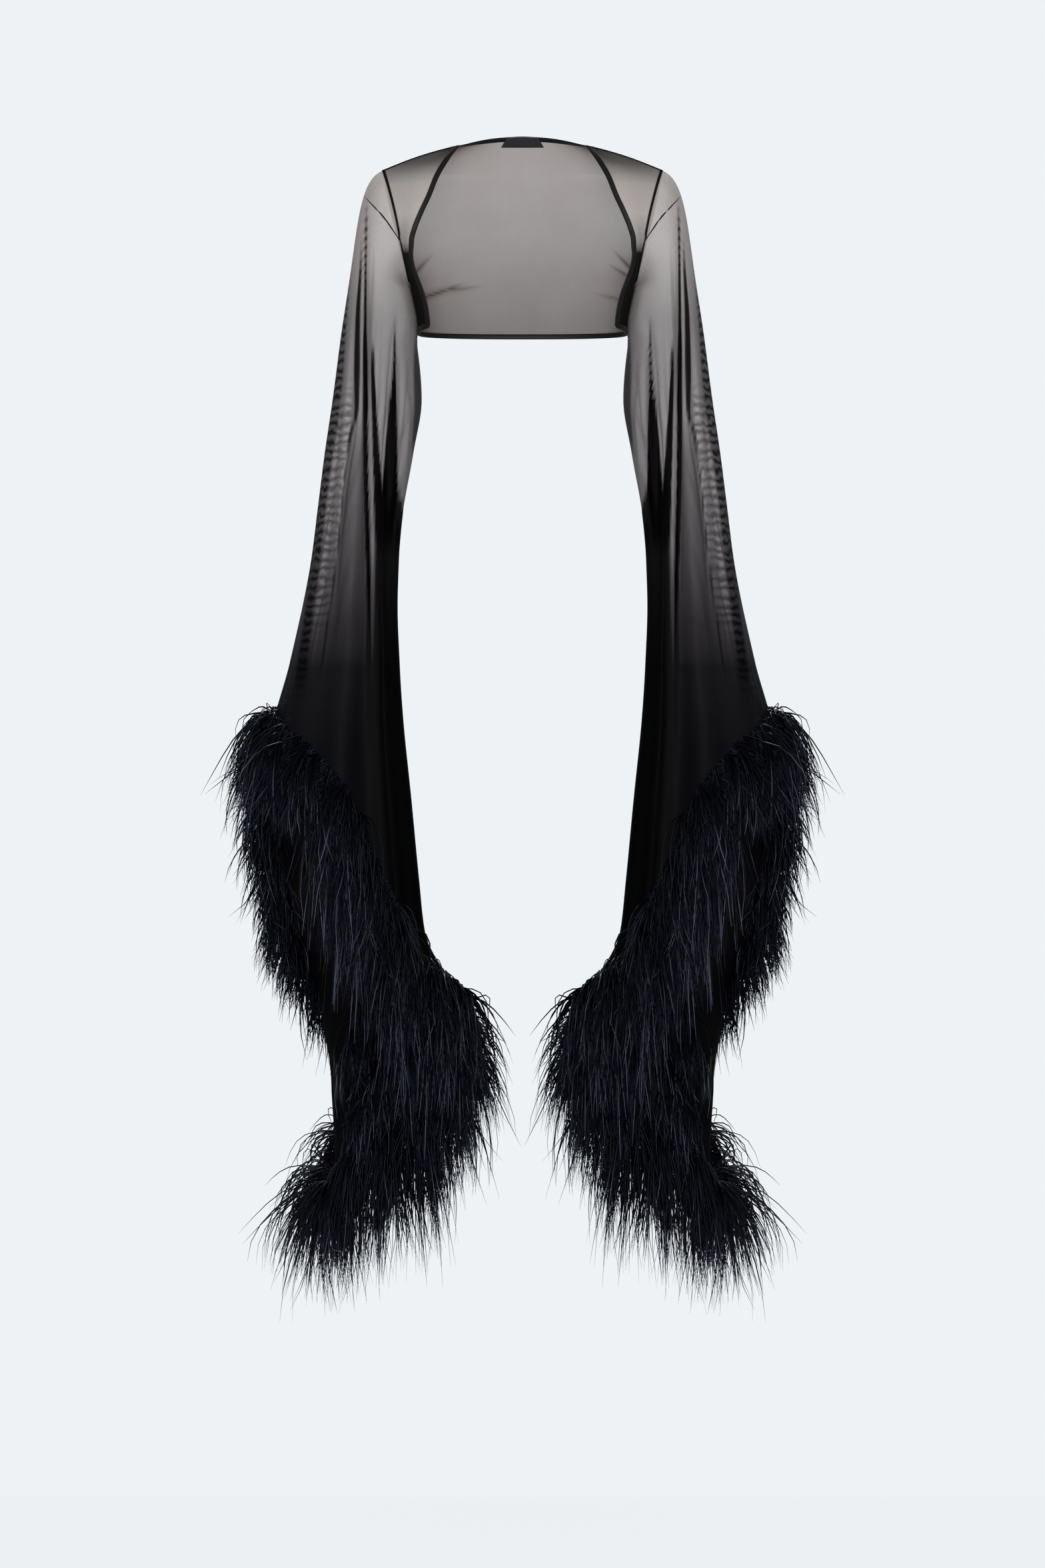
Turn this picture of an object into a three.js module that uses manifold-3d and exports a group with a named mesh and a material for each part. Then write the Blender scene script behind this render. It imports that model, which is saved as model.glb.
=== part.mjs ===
// Sheer feather shrug: a cropped bolero of fine stretch mesh, open in front, with very long bell sleeves
// whose slanting hems carry a thick trim of drooping feathers. It keeps the form it has when it is worn.
// Millimetres, +Z up. The front faces -Y and the wearer's left is +X. The origin lies midway between the
// shoulders at the height of the neck, where the wearer holds the shrug up. "down" is a distance below it.
import * as THREE from "three";
import { mergeVertices } from "three/addons/utils/BufferGeometryUtils.js";
import Module from "manifold-3d";

const wasm = await Module();
wasm.setup();

// Driving sizes.
const CLOTH_THICKNESS = 1;
const SEAM_GAP = 0.3;
const HEM_DOWN = 252;
const BINDING = { width: 6.5, thickness: 2.4 };
const LABEL = { width: 49, height: 16, thickness: 1, steps: 4 };
const TRIM = { width: 8, thickness: 3, gap: 0.8, clearance: 0.7, leastFromMiddle: 12 };
const LOCK = { count: 84, sides: 3, thickest: 3.1, shortest: 92, longer: 5.5, nearest: 42, further: 12 };
// How far each lock in turn leans to the cloth's outer side, in radians. The first free one is taken.
const LOCK_LEANS = [1.35, -0.75, 0.45, -1.45, 0.95, -0.2, 1.75, 0.1, -1.1, 0.7];

// Where the shoulder seam starts at the neck and ends at the sleeve, on the wearer's left.
const NECK_POINT = { across: 90, back: 2, down: 7 };
const SHOULDER_POINT = { across: 184.5, back: 4, down: 38.5 };
const SHOULDER_ARCH = 2.5;

// The armhole seam, once round: from the shoulder point down the front, under the arm and up the back.
const ARMHOLE = [
  { around: 0.0, across: 184.5, back: 4, down: 38.5 },
  { around: 0.09, across: 177.5, back: -25, down: 62 },
  { around: 0.2, across: 167.5, back: -44, down: 102 },
  { around: 0.3, across: 161.5, back: -46, down: 132 },
  { around: 0.38, across: 156.5, back: -36, down: 158 },
  { around: 0.45, across: 151.5, back: -17, down: 181 },
  { around: 0.5, across: 149.5, back: 1, down: 190 },
  { around: 0.55, across: 151, back: 20, down: 182 },
  { around: 0.63, across: 157, back: 42, down: 158 },
  { around: 0.72, across: 164, back: 55, down: 129 },
  { around: 0.82, across: 172, back: 53, down: 98 },
  { around: 0.92, across: 180, back: 33, down: 61 },
  { around: 1.0, across: 184.5, back: 4, down: 38.5 },
];

// The raw edge of a front, which the binding covers, from the neck to its corner with the hem.
const FRONT_EDGE = [
  { down: 7, across: 90, back: 2 },
  { down: 24, across: 102, back: -24 },
  { down: 48, across: 115.5, back: -41 },
  { down: 75, across: 126, back: -51 },
  { down: 98, across: 136.5, back: -56 },
  { down: 118, across: 144.5, back: -57 },
  { down: 135, across: 149, back: -54 },
  { down: 152, across: 149.5, back: -50 },
  { down: 168, across: 147, back: -49 },
  { down: 188, across: 140, back: -50 },
  { down: 208, across: 133, back: -51 },
  { down: 230, across: 128, back: -52 },
  { down: 246, across: 126.5, back: -47 },
];

// The side seam from the armhole to the hem.
const SIDE_SEAM = [
  { down: 190, across: 149.5, back: 1 },
  { down: 222, across: 144, back: 1 },
  { down: 252, across: 139, back: 1 },
];

// How far behind the shoulder line the middle of the back stands.
const BACK_DEPTH = [
  { down: -5, back: 44 },
  { down: 40, back: 68 },
  { down: 80, back: 82 },
  { down: 120, back: 89 },
  { down: 160, back: 90 },
  { down: 200, back: 87 },
  { down: 252, back: 79 },
];
const NAPE_DOWN = -4.8;
const YOKE_DOWN = 40;
const BACK_SQUARENESS = { neck: 2, hem: 2.5 };
const UNDERARM_DOWN = 190;
const CORNER_DOWN = 246;
const FRONT_BULGE = 0.1;
const FULLEST = 6.75; // share ** 2 * (1 - share) times this is 1 where it is greatest
const SHARPEST_MITRE = 0.5;
const UNDERARM_HALF_GAPS = 8;

// Level sections of a sleeve: its outer and inner sides, and how far in front and behind it reaches.
const SLEEVE = [
  { down: 200, outer: 232, inner: 154, front: -56, back: 60 },
  { down: 252, outer: 240, inner: 142.5, front: -59, back: 63 },
  { down: 343, outer: 252, inner: 134, front: -63, back: 67 },
  { down: 414, outer: 262.5, inner: 146, front: -66, back: 70 },
  { down: 485, outer: 271.5, inner: 161, front: -69, back: 73 },
  { down: 556, outer: 280.5, inner: 171.5, front: -72, back: 77 },
  { down: 627, outer: 294, inner: 175, front: -76, back: 81 },
  { down: 697, outer: 310, inner: 172.5, front: -81, back: 84 },
  { down: 764, outer: 329, inner: 168, front: -86, back: 86 },
  { down: 874, outer: 353, inner: 156.5, front: -92, back: 82 },
  { down: 981, outer: 362, inner: 146, front: -94, back: 76 },
  { down: 1051, outer: 356, inner: 138, front: -92, back: 72 },
  { down: 1140, outer: 330, inner: 94, front: -84, back: 66 },
  { down: 1228, outer: 318, inner: 84, front: -72, back: 60 },
  { down: 1397, outer: 325, inner: 96, front: -62, back: 56 },
];
const SLEEVE_HEAD_DOWN = 200;
const BELL_DOWN = 690;

// The sleeve's hem from its top at the outer side, down the front, round the inner fold and out to the point.
const FRONT_HEM = [
  { around: 0.0, down: 755 },
  { around: 0.07, down: 765 },
  { around: 0.14, down: 783 },
  { around: 0.21, down: 812 },
  { around: 0.27, down: 850 },
  { around: 0.32, down: 910 },
  { around: 0.36, down: 985 },
  { around: 0.4, down: 1050 },
  { around: 0.45, down: 1098 },
  { around: 0.5, down: 1140 },
  { around: 0.545, down: 1195 },
  { around: 0.59, down: 1245 },
  { around: 0.635, down: 1282 },
  { around: 0.68, down: 1308 },
  { around: 0.72, down: 1335 },
  { around: 0.76, down: 1396 },
];

// The back of the hem, from its top to the point: where the free edge hangs, the way the cloth heads there
// (in degrees, 0 outwards and 90 backwards), and how far its curve reaches before it turns.
const BACK_HEM = [
  { down: 755, around: 1.0, across: 329, back: 0, heading: -90, reach: 75 },
  { down: 811, around: 0.975, across: 336, back: 24, heading: -76, reach: 60 },
  { down: 870, around: 0.95, across: 338, back: 47, heading: -65, reach: 52 },
  { down: 925, around: 0.93, across: 334, back: 66, heading: -50, reach: 50 },
  { down: 985, around: 0.91, across: 325, back: 82, heading: -25, reach: 55 },
  { down: 1050, around: 0.89, across: 309, back: 98, heading: 20, reach: 58 },
  { down: 1110, around: 0.87, across: 285, back: 118, heading: 80, reach: 62 },
  { down: 1170, around: 0.85, across: 246, back: 134, heading: 140, reach: 105 },
  { down: 1250, around: 0.825, across: 210, back: 138, heading: 170, reach: 130 },
  { down: 1320, around: 0.795, across: 238, back: 124, heading: 135, reach: 80 },
  { down: 1396, around: 0.76, across: 258, back: 98, heading: 85, reach: 45 },
];
const FLAP_LEAVES = 45;
const FLAP_FROM = 0.64;
const FLAP_FREE = 0.74;
const FLAP_OPEN_DOWN = 840;

// The long hanging folds of a sleeve. Each is a soft ridge along one share of the columns that begins at
// "start" and is full at "full".
const SLEEVE_FOLDS = [
  { column: 0.075, half: 0.045, start: 330, full: 700, depth: 8 },
  { column: 0.165, half: 0.042, start: 150, full: 520, depth: 9 },
  { column: 0.25, half: 0.04, start: 190, full: 620, depth: 11 },
  { column: 0.335, half: 0.042, start: 240, full: 480, depth: 11 },
  { column: 0.425, half: 0.042, start: 330, full: 700, depth: 8 },
  { column: 0.525, half: 0.045, start: 300, full: 760, depth: 6 },
  { column: 0.615, half: 0.045, start: 210, full: 600, depth: 10 },
  { column: 0.705, half: 0.044, start: 170, full: 560, depth: 11 },
  { column: 0.795, half: 0.042, start: 200, full: 640, depth: 10 },
  { column: 0.885, half: 0.042, start: 280, full: 700, depth: 8 },
];

// How many steps each piece is made in.
const STEPS = { shoulder: 4, armhole: 11, sideSeam: 4, halfBack: 9, sleeveHead: 4, arm: 4, bell: 9 };

const MESH_CLOTH = { color: 0x1a191d, roughness: 0.62, metalness: 0 };
const RIBBON_SATIN = { color: 0x17161b, roughness: 0.45, metalness: 0 };
const FEATHER = { color: 0x0e0e16, roughness: 0.5, metalness: 0 };

const vector = (x, y, z) => new THREE.Vector3(x, y, z);
const acrossMiddle = (point) => vector(-point.x, point.y, point.z);
const at = (place) => vector(place.across, place.back, -place.down);
const mix = (a, b, share) => a + (b - a) * share;
const range = (count) => [...Array(count).keys()];
const NUDGE = 0.01;

// A smooth step from 0 at start to 1 at end.
function ease(start, end, value) {
  const t = Math.min(1, Math.max(0, (value - start) / (end - start)));
  return t * t * (3 - 2 * t);
}

// One column of a table read at any place along another, on a smooth curve that never overshoots its rows.
function read(table, by, column, place) {
  const last = table.length - 1;
  const k = Math.min(last - 1, Math.max(0, table.findIndex((row) => row[by] > place) - 1));
  const i = place >= table[last][by] ? last - 1 : k;
  const slope = (n) => (table[n + 1][column] - table[n][column]) / (table[n + 1][by] - table[n][by]);
  const tangent = (n) => {
    if (n === 0) return slope(0);
    if (n === last) return slope(last - 1);
    const [before, after] = [slope(n - 1), slope(n)];
    return before * after <= 0 ? 0 : (2 * before * after) / (before + after);
  };
  const step = table[i + 1][by] - table[i][by];
  const t = Math.min(1, Math.max(0, (place - table[i][by]) / step));
  const [start, end] = [table[i][column], table[i + 1][column]];
  return (
    start * (1 + 2 * t) * (1 - t) ** 2 +
    end * t * t * (3 - 2 * t) +
    step * (tangent(i) * t * (1 - t) ** 2 - tangent(i + 1) * t * t * (1 - t))
  );
}

// A point of a table of places.
function placeOn(table, by, place) {
  const value = (column) => (column === by ? place : read(table, by, column, place));
  return vector(value("across"), value("back"), -value("down"));
}

// The outward normals of the triangles that meet at each point of a grid. A closed grid joins its last column
// to its first.
function facesAround(grid, closed) {
  const columns = grid[0].length;
  const around = grid.map((row) => row.map(() => []));
  for (const i of range(grid.length - 1)) {
    for (const j of range(closed ? columns : columns - 1)) {
      const k = (j + 1) % columns;
      const [a, b, c, d] = [[i, j], [i, k], [i + 1, k], [i + 1, j]];
      for (const corners of [[a, b, c], [a, c, d]]) {
        const [p, q, r] = corners.map(([row, column]) => grid[row][column]);
        const normal = q.clone().sub(p).cross(r.clone().sub(p)).normalize();
        for (const [row, column] of corners) around[row][column].push(normal);
      }
    }
  }
  return around;
}

// The outward normals of a grid of points, rows by columns: the mean of the faces at each.
function normalsOf(grid, closed = false) {
  const mean = (faces) => faces.reduce((sum, normal) => sum.add(normal), vector(0, 0, 0)).normalize();
  return facesAround(grid, closed).map((row) => row.map(mean));
}

// A geometry of the given corners and triangles.
function solidFrom(positions, triangles) {
  const geometry = new THREE.BufferGeometry();
  const numbers = positions.flatMap((p) => p.toArray());
  geometry.setAttribute("position", new THREE.Float32BufferAttribute(numbers, 3));
  geometry.setIndex(triangles);
  return geometry;
}

// A cloth wall: a grid of mid-surface points given its thickness along its half-thickness vectors.
function wall(grid, half, closed = false) {
  const [rows, columns] = [grid.length, grid[0].length];
  const outer = grid.flatMap((row, i) => row.map((p, j) => p.clone().add(half[i][j])));
  const inner = grid.flatMap((row, i) => row.map((p, j) => p.clone().sub(half[i][j])));
  const size = rows * columns;
  const triangles = [];
  const quad = (a, b, c, d) => triangles.push(a, b, c, a, c, d);
  const spans = closed ? columns : columns - 1;
  for (const i of range(rows - 1)) {
    for (const j of range(spans)) {
      const k = (j + 1) % columns;
      const [a, b, c, d] = [i * columns + j, i * columns + k, (i + 1) * columns + k, (i + 1) * columns + j];
      quad(a, b, c, d);
      quad(size + a, size + d, size + c, size + b);
    }
  }
  for (const j of range(spans)) {
    const k = (j + 1) % columns;
    const bottom = (rows - 1) * columns;
    quad(size + j, size + k, k, j);
    quad(bottom + j, bottom + k, size + bottom + k, size + bottom + j);
  }
  if (!closed) {
    for (const i of range(rows - 1)) {
      const [left, leftBelow] = [i * columns, (i + 1) * columns];
      const [right, rightBelow] = [left + columns - 1, leftBelow + columns - 1];
      quad(left, leftBelow, size + leftBelow, size + left);
      quad(right, size + right, size + rightBelow, rightBelow);
    }
  }
  return solidFrom([...outer, ...inner], triangles);
}

// The same solid on the wearer's other side.
function mirrored(geometry) {
  const twin = geometry.clone();
  twin.scale(-1, 1, 1);
  const index = [...twin.index.array];
  for (let i = 0; i < index.length; i += 3) [index[i + 1], index[i + 2]] = [index[i + 2], index[i + 1]];
  twin.setIndex(index);
  return twin;
}

// A point on the shoulder seam, from the neck (0) to the sleeve (1).
function shoulderSeam(share) {
  const point = at(NECK_POINT).lerp(at(SHOULDER_POINT), share);
  point.z += SHOULDER_ARCH * Math.sin(Math.PI * share);
  return point;
}

const armholePoint = (around) => placeOn(ARMHOLE, "around", around);
const sideSeamPoint = (share) => placeOn(SIDE_SEAM, "down", mix(SIDE_SEAM[0].down, HEM_DOWN, share));

// The outer side of a front or of half the back, a row for each step down the armhole and the side seam.
function outerSide(armholeAround) {
  return [
    ...range(STEPS.armhole + 1).map((i) => armholePoint(armholeAround(i / STEPS.armhole))),
    ...range(STEPS.sideSeam).map((i) => sideSeamPoint((i + 1) / STEPS.sideSeam)),
  ];
}

// The front of the bodice: rows from the shoulder seam to the hem, columns from the side to the front edge.
function frontGrid() {
  const across = range(STEPS.shoulder + 1).map((j) => j / STEPS.shoulder);
  return outerSide((share) => share / 2).map((sideEnd, i) => {
    if (i === 0) return across.map((share) => shoulderSeam(1 - share));
    const below = (i - STEPS.armhole) / STEPS.sideSeam;
    const beside = (i / STEPS.armhole) ** 0.9;
    const beforeUnderarm = mix(NECK_POINT.down, UNDERARM_DOWN, beside);
    const down = below > 0 ? mix(UNDERARM_DOWN, CORNER_DOWN, below) : beforeUnderarm;
    const edge = placeOn(FRONT_EDGE, "down", down);
    const chord = edge.clone().sub(sideEnd);
    const outward = vector(-chord.y, chord.x, 0).normalize();
    return across.map((share) => {
      const bulge = FRONT_BULGE * chord.length() * FULLEST * share ** 2 * (1 - share);
      return sideEnd.clone().addScaledVector(chord, share).addScaledVector(outward, bulge);
    });
  });
}

// Half a row of the back, from its middle to the given end, on an oval as deep as the back is there.
function halfBackRow(end, middleDown, squareness) {
  const depth = read(BACK_DEPTH, "down", "back", middleDown);
  const reach = end.x / (1 - (end.y / depth) ** squareness) ** (1 / squareness);
  const lastAngle = Math.asin((end.x / reach) ** (squareness / 2));
  return range(STEPS.halfBack + 1).map((j) => {
    if (j === STEPS.halfBack) return end.clone();
    const angle = (lastAngle * j) / STEPS.halfBack;
    const across = reach * Math.sin(angle) ** (2 / squareness);
    const level = mix(-middleDown, end.z, (across / end.x) ** 2);
    return vector(across, depth * Math.cos(angle) ** (2 / squareness), level);
  });
}

// The back: rows from the neck to the hem, columns from the wearer's right side to their left.
function backGrid() {
  const shoulder = range(STEPS.shoulder).map((i) => shoulderSeam(i / STEPS.shoulder));
  const ends = [...shoulder, ...outerSide((share) => 1 - share / 2)];
  return ends.map((end, i) => {
    const onYoke = mix(NAPE_DOWN, YOKE_DOWN, i / STEPS.shoulder);
    const middleDown = i <= STEPS.shoulder ? onYoke : Math.max(-end.z, YOKE_DOWN + i);
    const squareness = mix(BACK_SQUARENESS.neck, BACK_SQUARENESS.hem, ease(0, ends.length - 1, i));
    const half = halfBackRow(end, middleDown, squareness);
    return [...half.slice(1).reverse().map(acrossMiddle), ...half];
  });
}

// How far the hanging folds lift the sleeve's cloth on a column. The open back flap falls smooth.
function foldHeight(column, around, down) {
  let height = 0;
  for (const fold of SLEEVE_FOLDS) {
    const off = Math.abs(column - fold.column) / fold.half;
    const profile = off < 1 ? Math.cos((Math.PI / 2) * off) ** 2 : 0;
    height += fold.depth * ease(fold.start, fold.full, down) * profile;
  }
  return height * (1 - ease(FLAP_FROM, FLAP_FREE, around) * ease(BELL_DOWN, BACK_HEM[0].down, down));
}

// A level section of the sleeve as an oval: 0 is its outer side, 0.25 its front and 0.5 its inner side.
function ovalPoint(around, down) {
  const size = (column) => read(SLEEVE, "down", column, down);
  const [outer, inner, front, back] = ["outer", "inner", "front", "back"].map(size);
  const angle = 2 * Math.PI * around;
  const across = mix(inner, outer, (1 + Math.cos(angle)) / 2);
  return vector(across, mix(back, front, (1 + Math.sin(angle)) / 2), -down);
}

// Below the top of the hem the back of the section no longer closes: it turns at a fold and hangs in behind.
function openPoint(around, down) {
  const oval = ovalPoint(around, down);
  const opened = ease(BACK_HEM[0].down, FLAP_OPEN_DOWN, down);
  if (around <= FLAP_FROM || opened === 0) return oval;
  const edge = (column) => read(BACK_HEM, "down", column, down);
  const start = ovalPoint(FLAP_FROM, down);
  const end = vector(edge("across"), edge("back"), -down);
  const leaving = ovalPoint(FLAP_FROM + NUDGE, down).sub(ovalPoint(FLAP_FROM - NUDGE, down)).normalize();
  const heading = THREE.MathUtils.degToRad(edge("heading"));
  const arriving = vector(Math.cos(heading), Math.sin(heading), 0);
  const second = start.clone().addScaledVector(leaving, FLAP_LEAVES);
  const third = end.clone().addScaledVector(arriving, -edge("reach"));
  const share = Math.min(1, (around - FLAP_FROM) / (edge("around") - FLAP_FROM));
  return oval.lerp(new THREE.CubicBezierCurve3(start, second, third, end).getPoint(share), opened);
}

// A point of the hanging sleeve, with its folds. "column" is the share of the columns that lie before it.
function sleevePoint(column, around, down) {
  const point = openPoint(around, down);
  const [before, after] = [openPoint(around - NUDGE, down), openPoint(around + NUDGE, down)];
  const outward = vector(before.y - after.y, after.x - before.x, 0).normalize();
  return point.addScaledVector(outward, foldHeight(column, around, down));
}

// The line of the sleeve head from the armhole seam over the shoulder to the first level section.
function sleeveHeadPoint(around, share) {
  const start = armholePoint(around);
  const end = sleevePoint(around, around, SLEEVE_HEAD_DOWN);
  const reach = end.distanceTo(start);
  const under = (1 - Math.cos(2 * Math.PI * around)) / 2;
  const tilt = mix(0.32, 0.9, under);
  const sideways = -0.35 * Math.sin(2 * Math.PI * around);
  const leaving = vector(Math.cos(tilt), sideways * Math.cos(tilt), -Math.sin(tilt)).normalize();
  const arriving = sleevePoint(around, around, SLEEVE_HEAD_DOWN + 1).sub(end).normalize();
  const second = start.clone().addScaledVector(leaving, reach * 0.2);
  const third = end.clone().addScaledVector(arriving, -reach * 0.55);
  return new THREE.CubicBezierCurve3(start, second, third, end).getPoint(share);
}

// Where each column of a sleeve ends on the hem: at equal steps through the rows of the two hem tables.
const SLEEVE_COLUMNS = 4 * STEPS.armhole;
const hemStations = range(SLEEVE_COLUMNS).map((column) => {
  const [frontSpans, backSpans] = [FRONT_HEM.length - 1, BACK_HEM.length - 1];
  const place = (column / SLEEVE_COLUMNS) * (frontSpans + backSpans);
  const onBack = place > frontSpans;
  const [table, by] = onBack ? [BACK_HEM, "down"] : [FRONT_HEM, "around"];
  const row = onBack ? frontSpans + backSpans - place : place;
  const first = Math.min(Math.floor(row), table.length - 2);
  const value = mix(table[first][by], table[first + 1][by], row - first);
  return onBack
    ? { down: value, around: read(table, "down", "around", value) }
    : { around: value, down: read(table, "around", "down", value) };
});

// A sleeve: rows from the armhole to the hem, columns once round from the outer side over the front.
function sleeveGrid() {
  const shares = range(SLEEVE_COLUMNS).map((j) => j / SLEEVE_COLUMNS);
  const head = range(STEPS.sleeveHead).map((i) =>
    shares.map((column) => sleeveHeadPoint(column, i / STEPS.sleeveHead)),
  );
  const arm = range(STEPS.arm).map((i) =>
    shares.map((column, j) => {
      const around = mix(column, hemStations[j].around, ease(0, STEPS.arm, i));
      return sleevePoint(column, around, mix(SLEEVE_HEAD_DOWN, BELL_DOWN, i / STEPS.arm));
    }),
  );
  const bell = range(STEPS.bell + 1).map((i) =>
    shares.map((column, j) => {
      const { around, down } = hemStations[j];
      return sleevePoint(column, around, mix(BELL_DOWN, down, i / STEPS.bell));
    }),
  );
  // The seam's straight steps are those of the bodice, so every other point lies halfway along one of them.
  const steps = 2 * STEPS.armhole;
  for (const j of range(SLEEVE_COLUMNS)) {
    const place = (j / SLEEVE_COLUMNS) * steps;
    const before = armholePoint(Math.floor(place) / steps);
    head[0][j] = before.lerp(armholePoint(Math.ceil(place) / steps), place - Math.floor(place));
  }
  return [...head, ...arm, ...bell];
}

const front = frontGrid();
const back = backGrid();
const sleeve = sleeveGrid();
const frontNormals = normalsOf(front);
const backNormals = normalsOf(back);
const sleeveNormals = normalsOf(sleeve, true);
const lastBack = back[0].length - 1;

// Both pieces at a seam end on one slanting plane between them, so neither wall runs into the other there.
// Under the arm they fold sharply on each other, and each keeps its own square edge.
function shareSeam(...corners) {
  const sum = vector(0, 0, 0);
  for (const [normals, i, j] of corners) sum.add(normals[i][j]);
  sum.normalize();
  const least = Math.min(...corners.map(([normals, i, j]) => normals[i][j].dot(sum)));
  if (least < SHARPEST_MITRE) return;
  for (const [normals, i, j] of corners) normals[i][j] = sum.clone();
}

for (const i of range(STEPS.armhole + 1)) {
  const backRow = STEPS.shoulder + i;
  const frontColumn = 2 * i;
  const backColumn = (SLEEVE_COLUMNS - frontColumn) % SLEEVE_COLUMNS;
  if (i === 0 || i === STEPS.armhole) {
    shareSeam([frontNormals, i, 0], [backNormals, backRow, lastBack], [sleeveNormals, 0, frontColumn]);
  } else {
    shareSeam([frontNormals, i, 0], [sleeveNormals, 0, frontColumn]);
    shareSeam([backNormals, backRow, lastBack], [sleeveNormals, 0, backColumn]);
  }
}
for (const j of range(STEPS.shoulder)) {
  shareSeam([frontNormals, 0, STEPS.shoulder - j], [backNormals, j, lastBack]);
}
for (const i of range(STEPS.sideSeam)) {
  const row = STEPS.armhole + 1 + i;
  shareSeam([frontNormals, row, 0], [backNormals, STEPS.shoulder + row, lastBack]);
}
// Between two shared points the sleeve's edge takes the mean of them, as the bodice's straight edge does.
for (const j of range(SLEEVE_COLUMNS)) {
  if (j % 2) {
    const next = sleeveNormals[0][(j + 1) % SLEEVE_COLUMNS];
    sleeveNormals[0][j] = sleeveNormals[0][j - 1].clone().add(next).divideScalar(2);
  }
}
for (const row of backNormals) {
  for (const j of range(STEPS.halfBack)) row[j] = acrossMiddle(row[lastBack - j]);
}

// The points of a grid with its sewn edges drawn back by half the gap. "sewn" gives the steps, in rows and
// columns, that lead away from a seam at a point, and how many half gaps the edge is drawn back there.
function trimmed(grid, sewn) {
  return grid.map((row, i) =>
    row.map((point, j) => {
      const moved = point.clone();
      for (const [rows, columns, halfGaps = 1.5] of sewn(i, j)) {
        const away = grid[i + rows][j + columns].clone().sub(point).normalize();
        moved.addScaledVector(away, (halfGaps * SEAM_GAP) / 2);
      }
      return moved;
    }),
  );
}

// Half the thickness of a wall at each of its points, drawn out at a fold so that both faces there keep it.
function halves(grid, normals, thickness, closed = false) {
  const faces = facesAround(grid, closed);
  return normals.map((row, i) =>
    row.map((normal, j) => {
      const least = Math.min(...faces[i][j].map((face) => face.dot(normal)));
      return normal.clone().multiplyScalar(thickness / 2 / Math.max(SHARPEST_MITRE, least));
    }),
  );
}

const frontCloth = wall(
  trimmed(front, (i, j) => [...(i === 0 ? [[1, 0]] : []), ...(j === 0 ? [[0, 1]] : [])]),
  halves(front, frontNormals, CLOTH_THICKNESS),
);

const backCloth = wall(
  trimmed(back, (i, j) => {
    if (j > 0 && j < lastBack) return [];
    const inwards = i > 0 ? [[0, j === 0 ? 1 : -1]] : [];
    const downwards = i <= STEPS.shoulder ? [[1, 0]] : [];
    return [...inwards, ...downwards];
  }),
  halves(back, backNormals, CLOTH_THICKNESS),
);

// The sleeve is drawn back further towards the underarm, where it turns down beside the bodice.
const sleeveCloth = wall(
  trimmed(sleeve, (i, j) => {
    const under = (1 - Math.cos((2 * Math.PI * j) / SLEEVE_COLUMNS)) / 2;
    return i === 0 ? [[1, 0, mix(1.5, UNDERARM_HALF_GAPS, under ** 4)]] : [];
  }),
  halves(sleeve, sleeveNormals, CLOTH_THICKNESS, true),
  true,
);

// A strip that goes on from the edge of the cloth: a closed loop of edge points and the cloth's normals.
function edgeStrip(edge, normals, width, thickness, gap) {
  const count = edge.length;
  const sections = edge.map((point, k) => {
    const before = edge[(k + count - 1) % count];
    const after = edge[(k + 1) % count];
    const along = after.clone().sub(before).normalize();
    const outward = along.clone().cross(normals[k]).normalize();
    const normal = outward.clone().cross(along).normalize();
    const half = normal.clone().multiplyScalar(thickness / 2);
    const [coming, going] = [point.clone().sub(before).normalize(), after.clone().sub(point).normalize()];
    const turn = Math.sqrt((1 + coming.dot(going)) / 2);
    const near = point.clone().addScaledVector(outward, gap / turn);
    const far = point.clone().addScaledVector(outward, (gap + width) / turn);
    const outer = [near.clone().add(half), far.clone().add(half)];
    const inner = [far.clone().sub(half), near.clone().sub(half)];
    return { corners: [...outer, ...inner], outward, normal };
  });
  const triangles = [];
  for (const k of range(count)) {
    for (const c of range(4)) {
      const [a, b] = [k * 4 + c, k * 4 + ((c + 1) % 4)];
      const [d, e] = [((k + 1) % count) * 4 + c, ((k + 1) % count) * 4 + ((c + 1) % 4)];
      triangles.push(a, e, d, a, b, e);
    }
  }
  return { geometry: solidFrom(sections.flatMap((s) => s.corners), triangles), sections };
}

// The binding's loop: along the back of the neck, down the left front, round the hem and up the right front.
function bindingLoop() {
  const [lastRow, backLast] = [front.length - 1, back.length - 1];
  const frontAt = (i, j) => [front[i][j], frontNormals[i][j]];
  const backAt = (i, j) => [back[i][j], backNormals[i][j]];
  const leftFront = [
    ...range(lastRow).map((i) => frontAt(i + 1, STEPS.shoulder)),
    ...range(STEPS.shoulder - 1).map((j) => frontAt(lastRow, STEPS.shoulder - 1 - j)),
  ];
  return [
    ...range(lastBack + 1).map((j) => backAt(0, j)),
    ...leftFront,
    ...range(lastBack + 1).map((j) => backAt(backLast, lastBack - j)),
    ...leftFront.reverse().map((pair) => pair.map(acrossMiddle)),
  ];
}

const loop = bindingLoop();
const [loopPoints, loopNormals] = [loop.map(([point]) => point), loop.map(([, normal]) => normal)];
const binding = edgeStrip(loopPoints, loopNormals, BINDING.width, BINDING.thickness, SEAM_GAP);

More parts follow.
